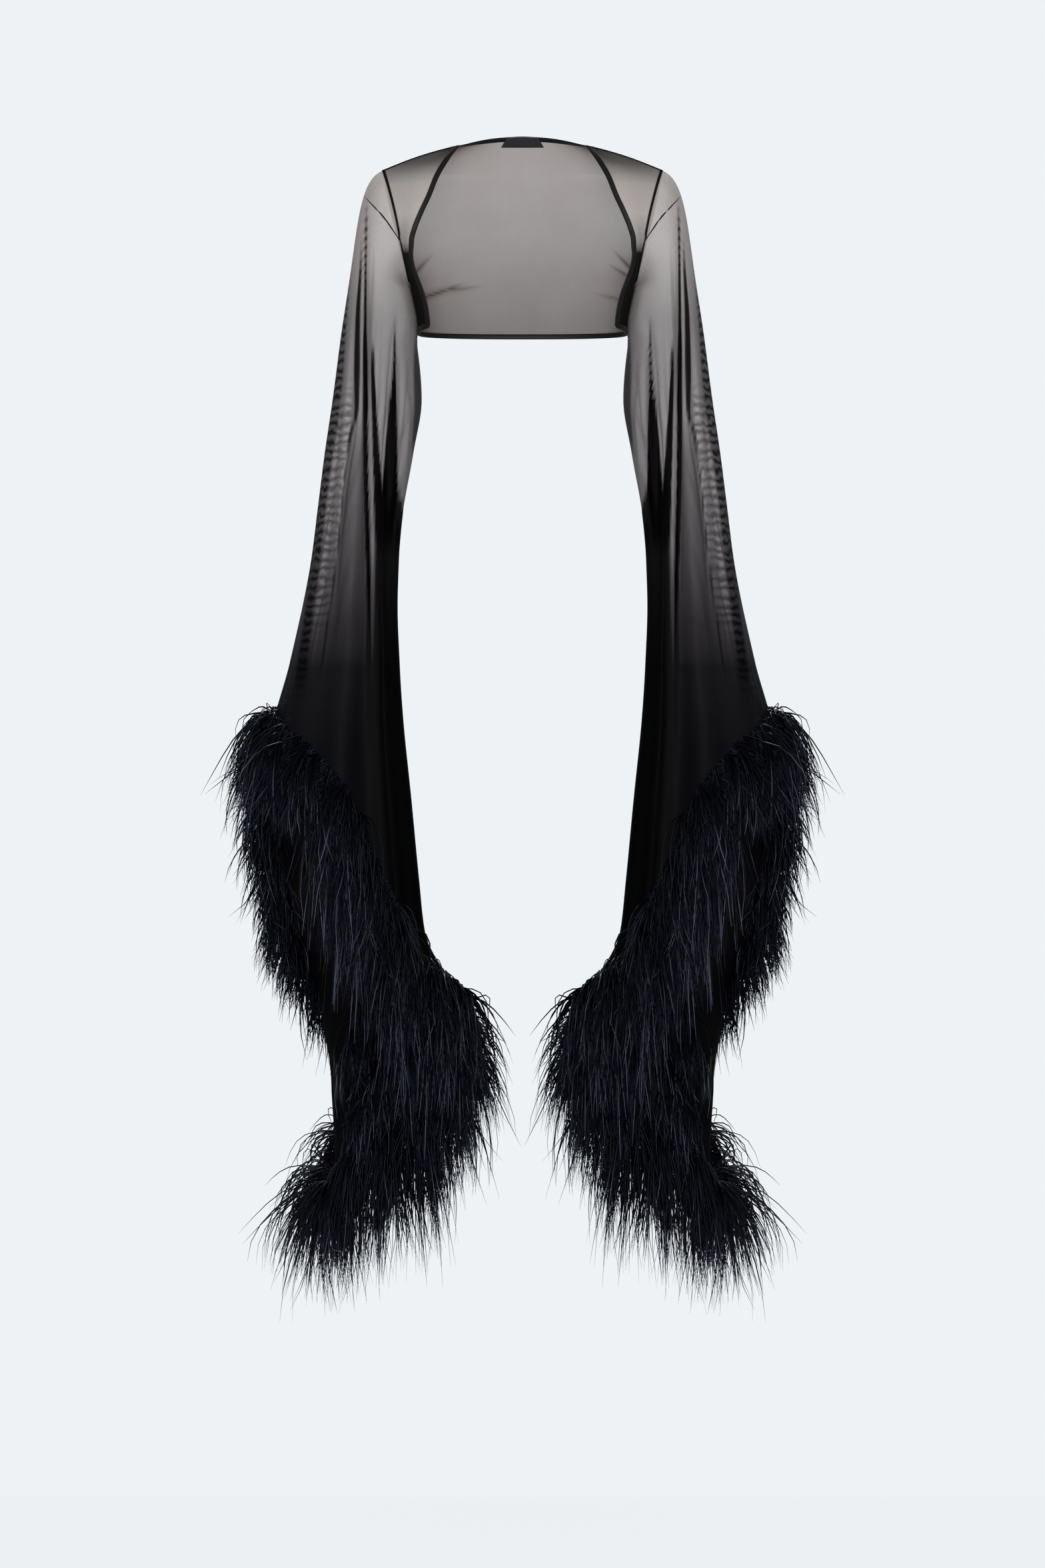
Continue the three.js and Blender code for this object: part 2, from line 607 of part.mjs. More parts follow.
// The blank label, sewn over the binding inside the back of the neck: the back's own points, moved inwards.
function labelSolid() {
  const inwards = -(BINDING.thickness / 2 + SEAM_GAP + LABEL.thickness / 2);
  const below = LABEL.height - BINDING.width;
  const rows = range(3).map((row) =>
    range(LABEL.steps + 1).map((column) => {
      const across = (column / LABEL.steps - 0.5) * LABEL.width;
      const spot = range(lastBack).find((j) => back[0][j + 1].x >= across);
      const share = (across - back[0][spot].x) / (back[0][spot + 1].x - back[0][spot].x);
      const edge = back[0][spot].clone().lerp(back[0][spot + 1], share);
      const lower = back[1][spot].clone().lerp(back[1][spot + 1], share);
      const downwards = lower.sub(edge).normalize();
      const normal = backNormals[0][spot].clone().lerp(backNormals[0][spot + 1], share).normalize();
      const distance = [-BINDING.width, 0, below][row];
      return edge.addScaledVector(downwards, distance).addScaledVector(normal, inwards);
    }),
  );
  return wall(rows, halves(rows, normalsOf(rows), LABEL.thickness));
}

// A solid of the joining library from a closed geometry, and back.
function toSolid(geometry) {
  const bare = mergeVertices(geometry.clone(), 1e-4);
  const vertProperties = bare.attributes.position.array;
  const triVerts = new Uint32Array(bare.index.array);
  return new wasm.Manifold(new wasm.Mesh({ numProp: 3, vertProperties, triVerts }));
}

function fromSolid(solid) {
  const { numProp, vertProperties, triVerts } = solid.getMesh();
  const count = vertProperties.length / numProp;
  const positions = range(count).map((k) => vector(...vertProperties.slice(k * numProp, k * numProp + 3)));
  return solidFrom(positions, [...triVerts]);
}

// The line of one lock of feather: it leaves its root, arches over and hangs down.
function lockCurve(root, away, length, reach) {
  const hang = vector(0, 0, -1);
  return new THREE.CubicBezierCurve3(
    root,
    root.clone().addScaledVector(away, reach * 0.75),
    root.clone().addScaledVector(away, reach).addScaledVector(hang, length * 0.35),
    root.clone().addScaledVector(away, reach * 1.05).addScaledVector(hang, length),
  );
}

// A lock as a tapering bar of few sides along its line, grown by "extra" to test what it would touch.
function lockGeometry(curve, extra) {
  const { sides, thickest } = LOCK;
  const stations = [
    { share: 0, radius: 0.55 },
    { share: 0.3, radius: 1 },
    { share: 0.66, radius: 0.8 },
  ];
  const rings = stations.flatMap(({ share, radius }) => {
    const centre = curve.getPoint(share);
    const along = curve.getTangent(share);
    const side = along.clone().cross(vector(1, 0.35, 0.2)).normalize();
    const other = along.clone().cross(side);
    return range(sides).map((s) => {
      const angle = (2 * Math.PI * s) / sides;
      const spread = thickest * radius + extra;
      const point = centre.clone().addScaledVector(side, spread * Math.cos(angle));
      return point.addScaledVector(other, spread * Math.sin(angle));
    });
  });
  const triangles = [];
  for (const k of range(stations.length - 1)) {
    for (const s of range(sides)) {
      const [a, b] = [k * sides + s, k * sides + ((s + 1) % sides)];
      triangles.push(a, b, b + sides, a, b + sides, a + sides);
    }
  }
  const lastRing = rings.length - sides;
  for (const s of range(sides)) triangles.push(lastRing + s, lastRing + ((s + 1) % sides), rings.length);
  for (const s of range(sides - 2)) triangles.push(0, s + 2, s + 1);
  return solidFrom([...rings, curve.getPoint(1)], triangles);
}

// Places along a strip at equal steps: its middle, the way out from the cloth and the cloth's normal there.
function placesAlong(sections, count) {
  const middles = sections.map(({ corners }) => corners[0].clone().add(corners[2]).multiplyScalar(0.5));
  const lengths = middles.map((p, k) => p.distanceTo(middles[(k + 1) % middles.length]));
  const total = lengths.reduce((sum, length) => sum + length, 0);
  return range(count).map((k) => {
    let along = (total * (k + 0.5)) / count;
    let span = 0;
    while (along > lengths[span]) {
      along -= lengths[span];
      span += 1;
    }
    const [here, next] = [sections[span], sections[(span + 1) % sections.length]];
    const share = along / lengths[span];
    return {
      root: middles[span].clone().lerp(middles[(span + 1) % middles.length], share),
      outward: here.outward.clone().lerp(next.outward, share).normalize(),
      normal: here.normal.clone().lerp(next.normal, share).normalize(),
    };
  });
}

// The feather trim of a sleeve: a narrow backing strip along the hem with locks that stand apart beyond it.
function featherTrim() {
  const hem = [...sleeve[sleeve.length - 1]].reverse();
  const hemNormals = [...sleeveNormals[sleeve.length - 1]].reverse();
  const { geometry, sections } = edgeStrip(hem, hemNormals, TRIM.width, TRIM.thickness, TRIM.gap);
  let taken = toSolid(sleeveCloth);
  let trim = toSolid(geometry);
  placesAlong(sections, LOCK.count).forEach(({ root, outward, normal }, k) => {
    const length = LOCK.shortest + LOCK.longer * ((k * 7) % 5);
    for (const attempt of range(LOCK_LEANS.length)) {
      const lean = LOCK_LEANS[(k * 3 + attempt) % LOCK_LEANS.length];
      const reach = LOCK.nearest + LOCK.further * ((k * 5 + attempt) % 4);
      const away = outward.clone().multiplyScalar(Math.cos(lean)).addScaledVector(normal, Math.sin(lean));
      const curve = lockCurve(root, away, length, reach);
      const lock = toSolid(lockGeometry(curve, 0));
      const isFree = toSolid(lockGeometry(curve, TRIM.clearance)).intersect(taken).isEmpty();
      if (!isFree || curve.getPoint(1).x < TRIM.leastFromMiddle) continue;
      const joined = trim.add(lock);
      if (joined.decompose().length > 1) continue;
      trim = joined;
      taken = taken.add(lock);
      return;
    }
  });
  return fromSolid(trim);
}

const trimSolid = featherTrim();

const shrug = new THREE.Group();
function add(name, geometry, look) {
  const mesh = new THREE.Mesh(geometry, new THREE.MeshStandardMaterial(look));
  mesh.name = name;
  shrug.add(mesh);
}

add("back", backCloth, MESH_CLOTH);
add("front_left", frontCloth, MESH_CLOTH);
add("front_right", mirrored(frontCloth), MESH_CLOTH);
add("sleeve_left", sleeveCloth, MESH_CLOTH);
add("sleeve_right", mirrored(sleeveCloth), MESH_CLOTH);
add("edge_binding", binding.geometry, RIBBON_SATIN);
add("neck_label", labelSolid(), RIBBON_SATIN);
add("feather_trim_left", trimSolid, FEATHER);
add("feather_trim_right", mirrored(trimSolid), FEATHER);

export default shrug;
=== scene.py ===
# A sheer feather shrug: a cropped bolero of black stretch net, open in front, with very long bell sleeves
# that are short over the arm and long behind it, and a thick trim of drooping ostrich feather on their hems.
# Metres, +Z up, the front faces -Y and the wearer's left is +X. Sizes in the tables are in millimetres.
import math
import bmesh
import bpy
import numpy as np
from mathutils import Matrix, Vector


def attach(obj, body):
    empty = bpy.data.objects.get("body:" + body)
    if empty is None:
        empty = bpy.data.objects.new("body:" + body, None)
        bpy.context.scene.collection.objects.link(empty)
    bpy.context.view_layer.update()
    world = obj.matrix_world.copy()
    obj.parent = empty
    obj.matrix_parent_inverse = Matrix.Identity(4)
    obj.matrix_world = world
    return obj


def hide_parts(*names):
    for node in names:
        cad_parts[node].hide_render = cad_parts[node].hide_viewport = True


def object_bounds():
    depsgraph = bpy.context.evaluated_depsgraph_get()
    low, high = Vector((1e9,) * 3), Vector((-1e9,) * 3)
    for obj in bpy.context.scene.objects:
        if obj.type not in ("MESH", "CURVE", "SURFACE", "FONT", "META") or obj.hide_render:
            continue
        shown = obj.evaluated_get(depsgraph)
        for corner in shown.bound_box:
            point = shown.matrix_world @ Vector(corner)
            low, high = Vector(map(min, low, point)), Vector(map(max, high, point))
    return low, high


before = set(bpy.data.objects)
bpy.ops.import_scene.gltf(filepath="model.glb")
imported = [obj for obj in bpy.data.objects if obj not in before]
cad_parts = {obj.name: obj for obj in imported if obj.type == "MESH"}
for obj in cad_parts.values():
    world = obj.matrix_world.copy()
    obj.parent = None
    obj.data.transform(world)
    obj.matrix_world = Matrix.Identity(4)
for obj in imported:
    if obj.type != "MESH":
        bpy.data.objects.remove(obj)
cad_low, cad_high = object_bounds()


# The view: a straight look at the front, from the height of the picture's middle.
# The shrug hangs in front of an even pale studio, with a floor below the picture and broad soft lamps.
PICTURE = {"width": 1568, "height": 2352}
METRES_PER_PIXEL = 0.000885
ORIGIN_PIXEL = {"across": 784, "down": 212}
CAMERA_DISTANCE = 9.0
SENSOR = 36
PALE = "#eef2f5"
AMBIENT = 0.28
FLOOR_BELOW, FLOOR_SIZE, FLOOR_GREY, FLOOR_GLOW = 0.42, 3.2, 0.06, 0.93


def linear(colour):
    """An sRGB hex colour as the linear RGBA that the shaders use."""
    shares = [int(colour[k : k + 2], 16) / 255 for k in (1, 3, 5)]
    return (*[s / 12.92 if s <= 0.04045 else ((s + 0.055) / 1.055) ** 2.4 for s in shares], 1)


def add_node(tree, kind, inputs={}, links={}, **settings):
    """Adds a node: its settings, the values of its sockets, and the outputs that feed others of them."""
    made = tree.nodes.new(kind)
    for name, value in settings.items():
        setattr(made, name, value)
    for socket, value in inputs.items():
        made.inputs[socket].default_value = value
    for socket, output in links.items():
        tree.links.new(output, made.inputs[socket])
    return made


def link(thing):
    """Puts an object in the scene."""
    bpy.context.scene.collection.objects.link(thing)
    return thing


def rows_of(columns, *rows):
    """A table: its rows as dictionaries of the named columns."""
    return [dict(zip(columns.split(), row)) for row in rows]


def new_material(name, sockets):
    """A material, its tree and its shader, whose named sockets are set."""
    material = bpy.data.materials.new(name)
    material.use_nodes = True
    shader = material.node_tree.nodes["Principled BSDF"]
    for socket, value in sockets.items():
        shader.inputs[socket].default_value = value
    return material, material.node_tree, shader


scene = bpy.context.scene
scene.view_settings.view_transform = "Standard"
picture_middle = PICTURE["height"] / 2
camera_height = (ORIGIN_PIXEL["down"] - picture_middle) * METRES_PER_PIXEL
camera = link(bpy.data.objects.new("camera", bpy.data.cameras.new("camera")))
camera.location = (0, -CAMERA_DISTANCE, camera_height)
camera.rotation_euler = (math.pi / 2, 0, 0)
camera.data.sensor_width = SENSOR
camera.data.lens = SENSOR * CAMERA_DISTANCE / (PICTURE["height"] * METRES_PER_PIXEL)
camera.data.clip_end = 100
scene.camera = camera

world = bpy.data.worlds.new("pale_studio")
scene.world = world
world.use_nodes = True
# The studio looks even and pale, but most of the light comes from the lamps in front.
backdrop = world.node_tree.nodes["Background"]
backdrop.inputs["Color"].default_value = linear(PALE)
rays = add_node(world.node_tree, "ShaderNodeLightPath")
dimmed = add_node(world.node_tree, "ShaderNodeMapRange", {"To Min": AMBIENT, "To Max": 1.0},
                  {"Value": rays.outputs["Is Camera Ray"]})
world.node_tree.links.new(dimmed.outputs["Result"], backdrop.inputs["Strength"])

floor_height = cad_low.z - FLOOR_BELOW
bpy.ops.mesh.primitive_plane_add(size=FLOOR_SIZE, location=(0, 0, floor_height))
floor = bpy.context.object
floor.name = "floor"
# The floor glows almost as pale as the backdrop, so that no edge shows between them.
floor_paint = new_material("matte_studio_paint", {
    "Base Color": (*[FLOOR_GREY] * 3, 1), "Roughness": 1, "Specular IOR Level": 0,
    "Emission Color": linear(PALE), "Emission Strength": FLOOR_GLOW,
})[0]
floor.data.materials.append(floor_paint)

SOFTBOXES = rows_of(
    "name place aim size watts",
    ("front", (0.0, -4.2, 0.3), (0, 0, -0.6), 2.2, 185),
    ("side_left", (2.8, -1.8, 0.2), (0, 0, -0.9), 1.4, 10),
    ("side_right", (-2.8, -1.8, 0.2), (0, 0, -0.9), 1.4,
     10),
    ("behind", (0.0, 3.4, 1.0), (0, 0, -0.5), 2.2, 60),
)
for box in SOFTBOXES:
    lamp = link(bpy.data.objects.new(box["name"], bpy.data.lights.new(box["name"], "AREA")))
    lamp.data.size = box["size"]
    lamp.data.energy = box["watts"]
    lamp.location = box["place"]
    aim = Vector(box["aim"]) - lamp.location
    lamp.rotation_euler = aim.to_track_quat("-Z", "Y").to_euler()


# The back: one piece of fine stretch net from the neck to the cropped hem, cut on an oval and sewn at the
# shoulders, armholes and sides. Its cloth is a knitted nylon net, here a shell half a millimetre thick.
MM = 0.001
NET_THICKNESS = 0.5
NECK_POINT = (90, 2, -7)
SHOULDER_POINT = (184.5, 4, -38.5)
SHOULDER_ARCH = 2.5
ARMHOLE = {
    "around": (0, 0.09, 0.2, 0.3, 0.38, 0.45, 0.5, 0.55, 0.63, 0.72, 0.82, 0.92, 1),
    "across": (184.5, 177.5, 167.5, 161.5, 156.5, 151.5, 149.5, 151, 157, 164, 172, 180, 184.5),
    "back": (4, -25, -44, -46, -36, -17, 1, 20, 42, 55, 53, 33, 4),
    "down": (38.5, 62, 102, 132, 158, 181, 190, 182, 158, 129, 98, 61, 38.5),
}
SIDE_SEAM = {"down": (190, 222, 252), "across": (149.5, 144, 139), "back": (1, 1, 1)}
BACK_DEPTH = {"down": (-5, 40, 80, 120, 160, 200, 252), "back": (44, 68, 82, 89, 90, 87, 79)}
NAPE_DOWN, YOKE_DOWN, UNDERARM_DOWN, HEM_DOWN = -4.8, 40, 190, 252
SQUARENESS = {"neck": 2, "hem": 2.5}
# The steps of the cut: four down the shoulder, eleven down the armhole and four down the side seam.
SHOULDER_STEPS, ARMHOLE_STEPS, SIDE_STEPS = 4, 11, 4
FINER = 5
BACK_COLUMNS = 96


def mix(a, b, share):
    return a + (b - a) * share


def ease(start, end, value):
    """A smooth step from 0 at start to 1 at end."""
    t = np.clip((value - start) / (end - start), 0, 1)
    return t * t * (3 - 2 * t)


def unit(vectors):
    return vectors / np.maximum(np.linalg.norm(vectors, axis=-1, keepdims=True), 1e-9)


def read(table, by, column, place):
    """One column of a table read at any place along another, smooth and never past its rows."""
    places, values = np.array(table[by], float), np.array(table[column], float)
    steps = np.diff(places)
    slopes = np.diff(values) / steps
    product, total = slopes[:-1] * slopes[1:], slopes[:-1] + slopes[1:]
    inner = np.where(product > 0, 2 * product / np.where(product > 0, total, 1), 0)
    tangents = np.concatenate([slopes[:1], inner, slopes[-1:]])
    span = np.clip(np.searchsorted(places, place, side="right") - 1, 0, len(slopes) - 1)
    t = np.clip((place - places[span]) / steps[span], 0, 1)
    ends = values[span] * (1 + 2 * t) * (1 - t) ** 2 + values[span + 1] * t * t * (3 - 2 * t)
    return ends + steps[span] * (tangents[span] * t * (1 - t) ** 2 - tangents[span + 1] * t * t * (1 - t))


def place_on(table, by, place):
    """A point, in millimetres, of a table of places."""
    place = np.asarray(place, float)
    across, back, down = (place if c == by else read(table, by, c, place) for c in ("across", "back", "down"))
    return np.stack([across, back, -down], -1)


def shoulder_seam(share):
    """Points of the shoulder seam, from the neck at 0 to the sleeve at 1."""
    share = np.asarray(share, float)[..., None]
    arch = np.concatenate([0 * share, 0 * share, SHOULDER_ARCH * np.sin(np.pi * share)], -1)
    return mix(np.array(NECK_POINT, float), np.array(SHOULDER_POINT, float), share) + arch


def side_of(step, armhole_around):
    """The outer side of a front or of half the back at a step down the armhole and then the side seam."""
    on_armhole = place_on(ARMHOLE, "around", armhole_around(np.clip(step / ARMHOLE_STEPS, 0, 1)))
    below = np.clip((step - ARMHOLE_STEPS) / SIDE_STEPS, 0, 1)
    on_side = place_on(SIDE_SEAM, "down", mix(UNDERARM_DOWN, HEM_DOWN, below))
    return np.where((step > ARMHOLE_STEPS)[:, None], on_side, on_armhole)


def normals_of(grid, closed=False):
    """The outward normals of a grid of points, rows by columns."""
    along = np.gradient(grid, axis=0)
    if closed:
        across = np.roll(grid, -1, 1) - np.roll(grid, 1, 1)
    else:
        across = np.gradient(grid, axis=1)
    return unit(np.cross(across, along))


def net_panel(name, grid, doubled, rippled=None, closed=False, mirrored=False):
    """A panel of net: a grid of points in millimetres as a mesh, with its cloth lengths in metres as UVs, and
    with how far the cloth lies double, which also sets a painted shade in its colour, or shows the ripples of
    two nets, at each point."""
    rows, columns = grid.shape[:2]
    ring = np.concatenate([grid, grid[:, :1]], 1) if closed else grid
    across = np.cumsum(np.linalg.norm(np.diff(ring, axis=1, prepend=ring[:, :1]), axis=-1), 1)
    across -= across.mean(1, keepdims=True)
    down = np.cumsum(np.linalg.norm(np.diff(ring, axis=0, prepend=ring[:1]), axis=-1), 0)
    lengths = np.stack([across, down], -1) * MM
    points = grid * MM * ((-1, 1, 1) if mirrored else (1, 1, 1))
    spans = columns if closed else columns - 1
    i, j = np.meshgrid(np.arange(rows - 1), np.arange(spans), indexing="ij")
    i, j = i.ravel(), j.ravel()
    corners = np.stack([np.stack([i, j], -1), np.stack([i, j + 1], -1),
                        np.stack([i + 1, j + 1], -1), np.stack([i + 1, j], -1)], 1)
    if mirrored:
        corners = corners[:, ::-1]
    mesh = bpy.data.meshes.new(name)
    faces = corners[..., 0] * columns + corners[..., 1] % columns
    mesh.from_pydata(points.reshape(-1, 3).tolist(), [], faces.tolist())
    rippled = 0 * doubled if rippled is None else rippled
    for key, values in (("doubled", doubled), ("rippled", rippled)):
        held = mesh.attributes.new(key, "FLOAT", "POINT")
        held.data.foreach_set("value", values.astype(np.float32).ravel())
    uv = mesh.uv_layers.new(name="cloth")
    uv.data.foreach_set("uv", lengths[corners[..., 0], corners[..., 1]].astype(np.float32).ravel())
    mesh.shade_smooth()
    panel = link(bpy.data.objects.new(name, mesh))
    shell = panel.modifiers.new("cloth thickness", "SOLIDIFY")
    shell.thickness = NET_THICKNESS * MM
    shell.offset = 0
    return panel


def back_grid():
    """The back: rows from the neck to the hem, columns from the wearer's right to their left."""
    steps = np.linspace(0, SHOULDER_STEPS + ARMHOLE_STEPS + SIDE_STEPS,
                        FINER * (SHOULDER_STEPS + ARMHOLE_STEPS + SIDE_STEPS) + 1)
    on_shoulder = (steps < SHOULDER_STEPS)[:, None]
    ends = np.where(on_shoulder, shoulder_seam(np.clip(steps / SHOULDER_STEPS, 0, 1)),
                    side_of(steps - SHOULDER_STEPS, lambda share: 1 - share / 2))
    yoke = mix(NAPE_DOWN, YOKE_DOWN, steps / SHOULDER_STEPS)
    below = np.maximum(-ends[:, 2], YOKE_DOWN + steps * np.clip(steps - SHOULDER_STEPS, 0, 1))
    middle = np.where(steps <= SHOULDER_STEPS, yoke, below)
    square = mix(SQUARENESS["neck"], SQUARENESS["hem"], ease(0, steps[-1], steps))
    depth = read(BACK_DEPTH, "down", "back", middle)
    reach = ends[:, 0] / (1 - (ends[:, 1] / depth) ** square) ** (1 / square)
    last = np.arcsin((ends[:, 0] / reach) ** (square / 2))
    angle = last[:, None] * np.linspace(0, 1, BACK_COLUMNS // 2 + 1)
    across = reach[:, None] * np.sin(angle) ** (2 / square[:, None])
    back = depth[:, None] * np.cos(angle) ** (2 / square[:, None])
    level = mix(-middle[:, None], ends[:, 2:], (across / ends[:, :1]) ** 2)
    half = np.stack([across, back, level], -1)
    return np.concatenate([half[:, :0:-1] * (-1, 1, 1), half], 1)


# The creases that the arms drag in the lower back, from the edge of the front towards the middle. "deep" is how
# far the cloth is pushed back there, "wide" is half the crease's width, and "dark" is how far it shuts and how
# far its colour is darkened there, a painted shade.
BACK_CREASES = rows_of(
    "start end deep wide dark",
    ((-146, -175), (-119, -142), 3.0, 5, 0.6), ((-134, -205), (-74, -181), 4.0, 5.5, 0.65),
    ((-96, -191), (-50, -185), 2.0, 5, 0.3), ((147, -168), (120, -137), 3.0, 5, 0.55),
    ((145, -178), (113, -156), 2.6, 5, 0.45), ((132, -207), (92, -195), 1.6, 5, 0.3),
)
# The dark line, where the cloth hides more and its colour has painted shade, is narrower than the crease. A
# crease fades in and out at these shares of its length.
PINCH, FADES_IN, FADES_OUT = 0.42, (-0.1, 0.15), (0.35, 1.1)


def crease(points, start, end, wide):
    """How much of a straight crease each point has, seen from the front: 1 on its line and 0 away from it."""
    start, end = np.array(start, float), np.array(end, float)
    length = np.linalg.norm(end - start)
    along = (points - start) @ (end - start) / length
    aside = (points - start) @ (np.array([start[1] - end[1], end[0] - start[0]]) / length)
    begun, over = (ease(first * length, last * length, along) for first, last in (FADES_IN, FADES_OUT))
    fade = begun * (1 - over)
    return fade * np.exp(-((aside / wide) ** 2))


back_points = back_grid()
back_doubled_and_shade = np.zeros(back_points.shape[:2])
for fold in BACK_CREASES:
    seen = back_points[..., [0, 2]]
    share = crease(seen, fold["start"], fold["end"], fold["wide"])
    back_doubled_and_shade += fold["dark"] * crease(seen, fold["start"], fold["end"], fold["wide"] * PINCH)
    back_points += normals_of(back_points) * (share * fold["deep"])[..., None]
back = net_panel("back_net", back_points, back_doubled_and_shade)


def set_marks(ramp, rows):
    """Gives a colour ramp its marks, which are rows of place and linear colour."""
    marks = ramp.color_ramp.elements
    while len(marks) < len(rows):
        marks.new(0.5)
    for mark, (place, colour) in zip(marks, rows):
        mark.position, mark.color = place, colour


def work_out(tree, known, steps, clamped=()):
    """Adds a Math node for each step. A step is the name of its result, its operation and its values, which
    are numbers or the names of what is known."""
    for made, operation, *values in steps:
        fixed = {k: float(value) for k, value in enumerate(values) if not isinstance(value, str)}
        fed = {k: known[value] for k, value in enumerate(values) if isinstance(value, str)}
        known[made] = add_node(tree, "ShaderNodeMath", fixed, fed, operation=operation,
                               use_clamp=made in clamped).outputs[0]


# The real holes are about 1 mm apart, too fine for the picture, so the net is drawn at "pitch", in metres.
# "lattice" and "mottle" say how far the threads and their uneven lie change what the net hides, "flattest" is
# the least cosine of its slant that counts, and "thinnest" what is left of it where it is stretched most.
NET = {"pitch": 0.0032, "lattice": 0.02, "mottle": 0.015, "blotches": 14.0, "top": 0.02, "flattest": 0.16,
       "thinnest": 0.48}
RIPPLES = {"apart": 0.012, "swing": 0.5, "distortion": 5.0}
# A wave texture of scale 1 repeats every 2 pi / 20.
WAVE = 2 * math.pi / 20


def sheer_net(name, painted_sheen_colours, cover):
    """Black nylon stretch net, warp knitted and dyed: its holes let the studio show through, and its threads
    are dull black. The grey shine where strong light meets them is painted into their colour by height, a
    painted sheen. "cover" and "painted_sheen_colours" are rows of height above the origin, and how much the
    threads hide or their colour with its painted sheen there."""
    net, tree, shader = new_material(name, {"Roughness": 0.6, "Specular IOR Level": 0.04})
    place = add_node(tree, "ShaderNodeTexCoord")
    parts = add_node(tree, "ShaderNodeSeparateXYZ", links={0: place.outputs["Object"]})
    low = min(row[0] for row in (*painted_sheen_colours, *cover))
    height = add_node(tree, "ShaderNodeMapRange", {"From Min": low, "From Max": NET["top"]},
                      {"Value": parts.outputs["Z"]})
    at_height = {}
    for key, rows in (("cover", [(level, (value, value, value, 1)) for level, value in cover]),
                      ("colour", [(level, linear(colour)) for level, colour in painted_sheen_colours])):
        ramp = add_node(tree, "ShaderNodeValToRGB", links={"Fac": height.outputs["Result"]})
        set_marks(ramp, [((level - low) / (NET["top"] - low), value) for level, value in rows])
        at_height[key] = ramp.outputs["Color"]

    turned = add_node(tree, "ShaderNodeMapping",
                      {"Rotation": (0, 0, math.pi / 4), "Scale": (2 * math.pi / NET["pitch"],) * 3},
                      {"Vector": place.outputs["UV"]})
    waves = add_node(tree, "ShaderNodeVectorMath", links={0: turned.outputs["Vector"]}, operation="SINE")
    threads = add_node(tree, "ShaderNodeSeparateXYZ", links={0: waves.outputs["Vector"]})
    uneven = add_node(tree, "ShaderNodeTexNoise", {"Scale": NET["blotches"], "Detail": 3.0, "Roughness": 0.6},
                      {"Vector": place.outputs["Object"]})
    mottle = add_node(tree, "ShaderNodeMapRange",
                      {"From Min": 0.3, "From Max": 0.7, "To Min": -NET["mottle"], "To Max": NET["mottle"]},
                      {"Value": uneven.outputs["Fac"]}).outputs["Result"]
    # Where the cloth is stretched thin "doubled" is below 0, and the threads hide less.
    doubled = add_node(tree, "ShaderNodeAttribute", attribute_name="doubled").outputs["Fac"]
    rippled = add_node(tree, "ShaderNodeAttribute", attribute_name="rippled").outputs["Fac"]
    stretched = add_node(tree, "ShaderNodeMapRange",
                         {"From Min": -1.0, "From Max": 0.0, "To Min": NET["thinnest"], "To Max": 1.0},
                         {"Value": doubled}).outputs["Result"]
    # Two nets that lie over each other, a little turned, shimmer in uneven ripples.
    ripples = add_node(tree, "ShaderNodeTexWave",
                       {"Scale": WAVE / RIPPLES["apart"], "Distortion": RIPPLES["distortion"], "Detail": 2.0,
                        "Detail Scale": 2.0}, {"Vector": place.outputs["Object"]}, bands_direction="Z")
    swing = add_node(tree, "ShaderNodeMapRange", {"To Min": -RIPPLES["swing"], "To Max": RIPPLES["swing"]},
                     {"Value": ripples.outputs["Fac"]}).outputs["Result"]
    facing = add_node(tree, "ShaderNodeLayerWeight", {"Blend": 0.5}).outputs["Facing"]

    # The net's share of cloth, then what passes a net seen aslant, which is the straight share to the power
    # 1 / cosine, and then how much less passes where the cloth lies double.
    worked = {"hidden": at_height["cover"], "right": threads.outputs["X"], "left": threads.outputs["Y"],
              "mottle": mottle, "stretched": stretched, "facing": facing, "swing": swing, "rippled": rippled,
              "doubled": doubled}
    work_out(tree, worked, [
        ("lattice", "MULTIPLY", "right", "left"),
        ("woven", "MULTIPLY_ADD", "lattice", NET["lattice"], "hidden"),
        ("mottled", "ADD", "woven", "mottle"), ("cloth", "MULTIPLY", "mottled", "stretched"),
        ("hole", "SUBTRACT", 1, "cloth"), ("cosine", "SUBTRACT", 1, "facing"),
        ("not flat", "MAXIMUM", "cosine", NET["flattest"]), ("slant", "DIVIDE", 1, "not flat"),
        ("passes", "POWER", "hole", "slant"), ("shimmer", "MULTIPLY_ADD", "swing", "rippled", "doubled"),
        ("single", "SUBTRACT", 1, "shimmer"), ("still", "MULTIPLY", "passes", "single"),
        ("alpha", "SUBTRACT", 1, "still"),
    ], clamped=("hole", "alpha"))
    tree.links.new(worked["alpha"], shader.inputs["Alpha"])
    # Painted shade: the colour is darkened where the cloth lies double, as its threads lie in each other's
    # shade, and painted lighter where it is stretched thin. The ripples darken and lighten it too.
    shaded = add_node(tree, "ShaderNodeVectorMath", links={0: at_height["colour"], "Scale": worked["single"]},
                      operation="SCALE")
    tree.links.new(shaded.outputs[0], shader.inputs["Base Color"])
    return net


# The colour ramp is a painted sheen: paler grey towards the neck, and browner and darker towards the hem. The
# net also hides a little more towards the hem.
back_cloth = sheer_net(
    "knitted_nylon_net_back",
    painted_sheen_colours=[(-0.26, "#524742"), (-0.224, "#5c514c"), (-0.12, "#6f625f"), (-0.03, "#80716b")],
    cover=[(-0.26, 0.61), (-0.224, 0.588), (-0.12, 0.51), (-0.03, 0.47)],
)
back.data.materials.append(back_cloth)
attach(back, "root")
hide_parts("back")


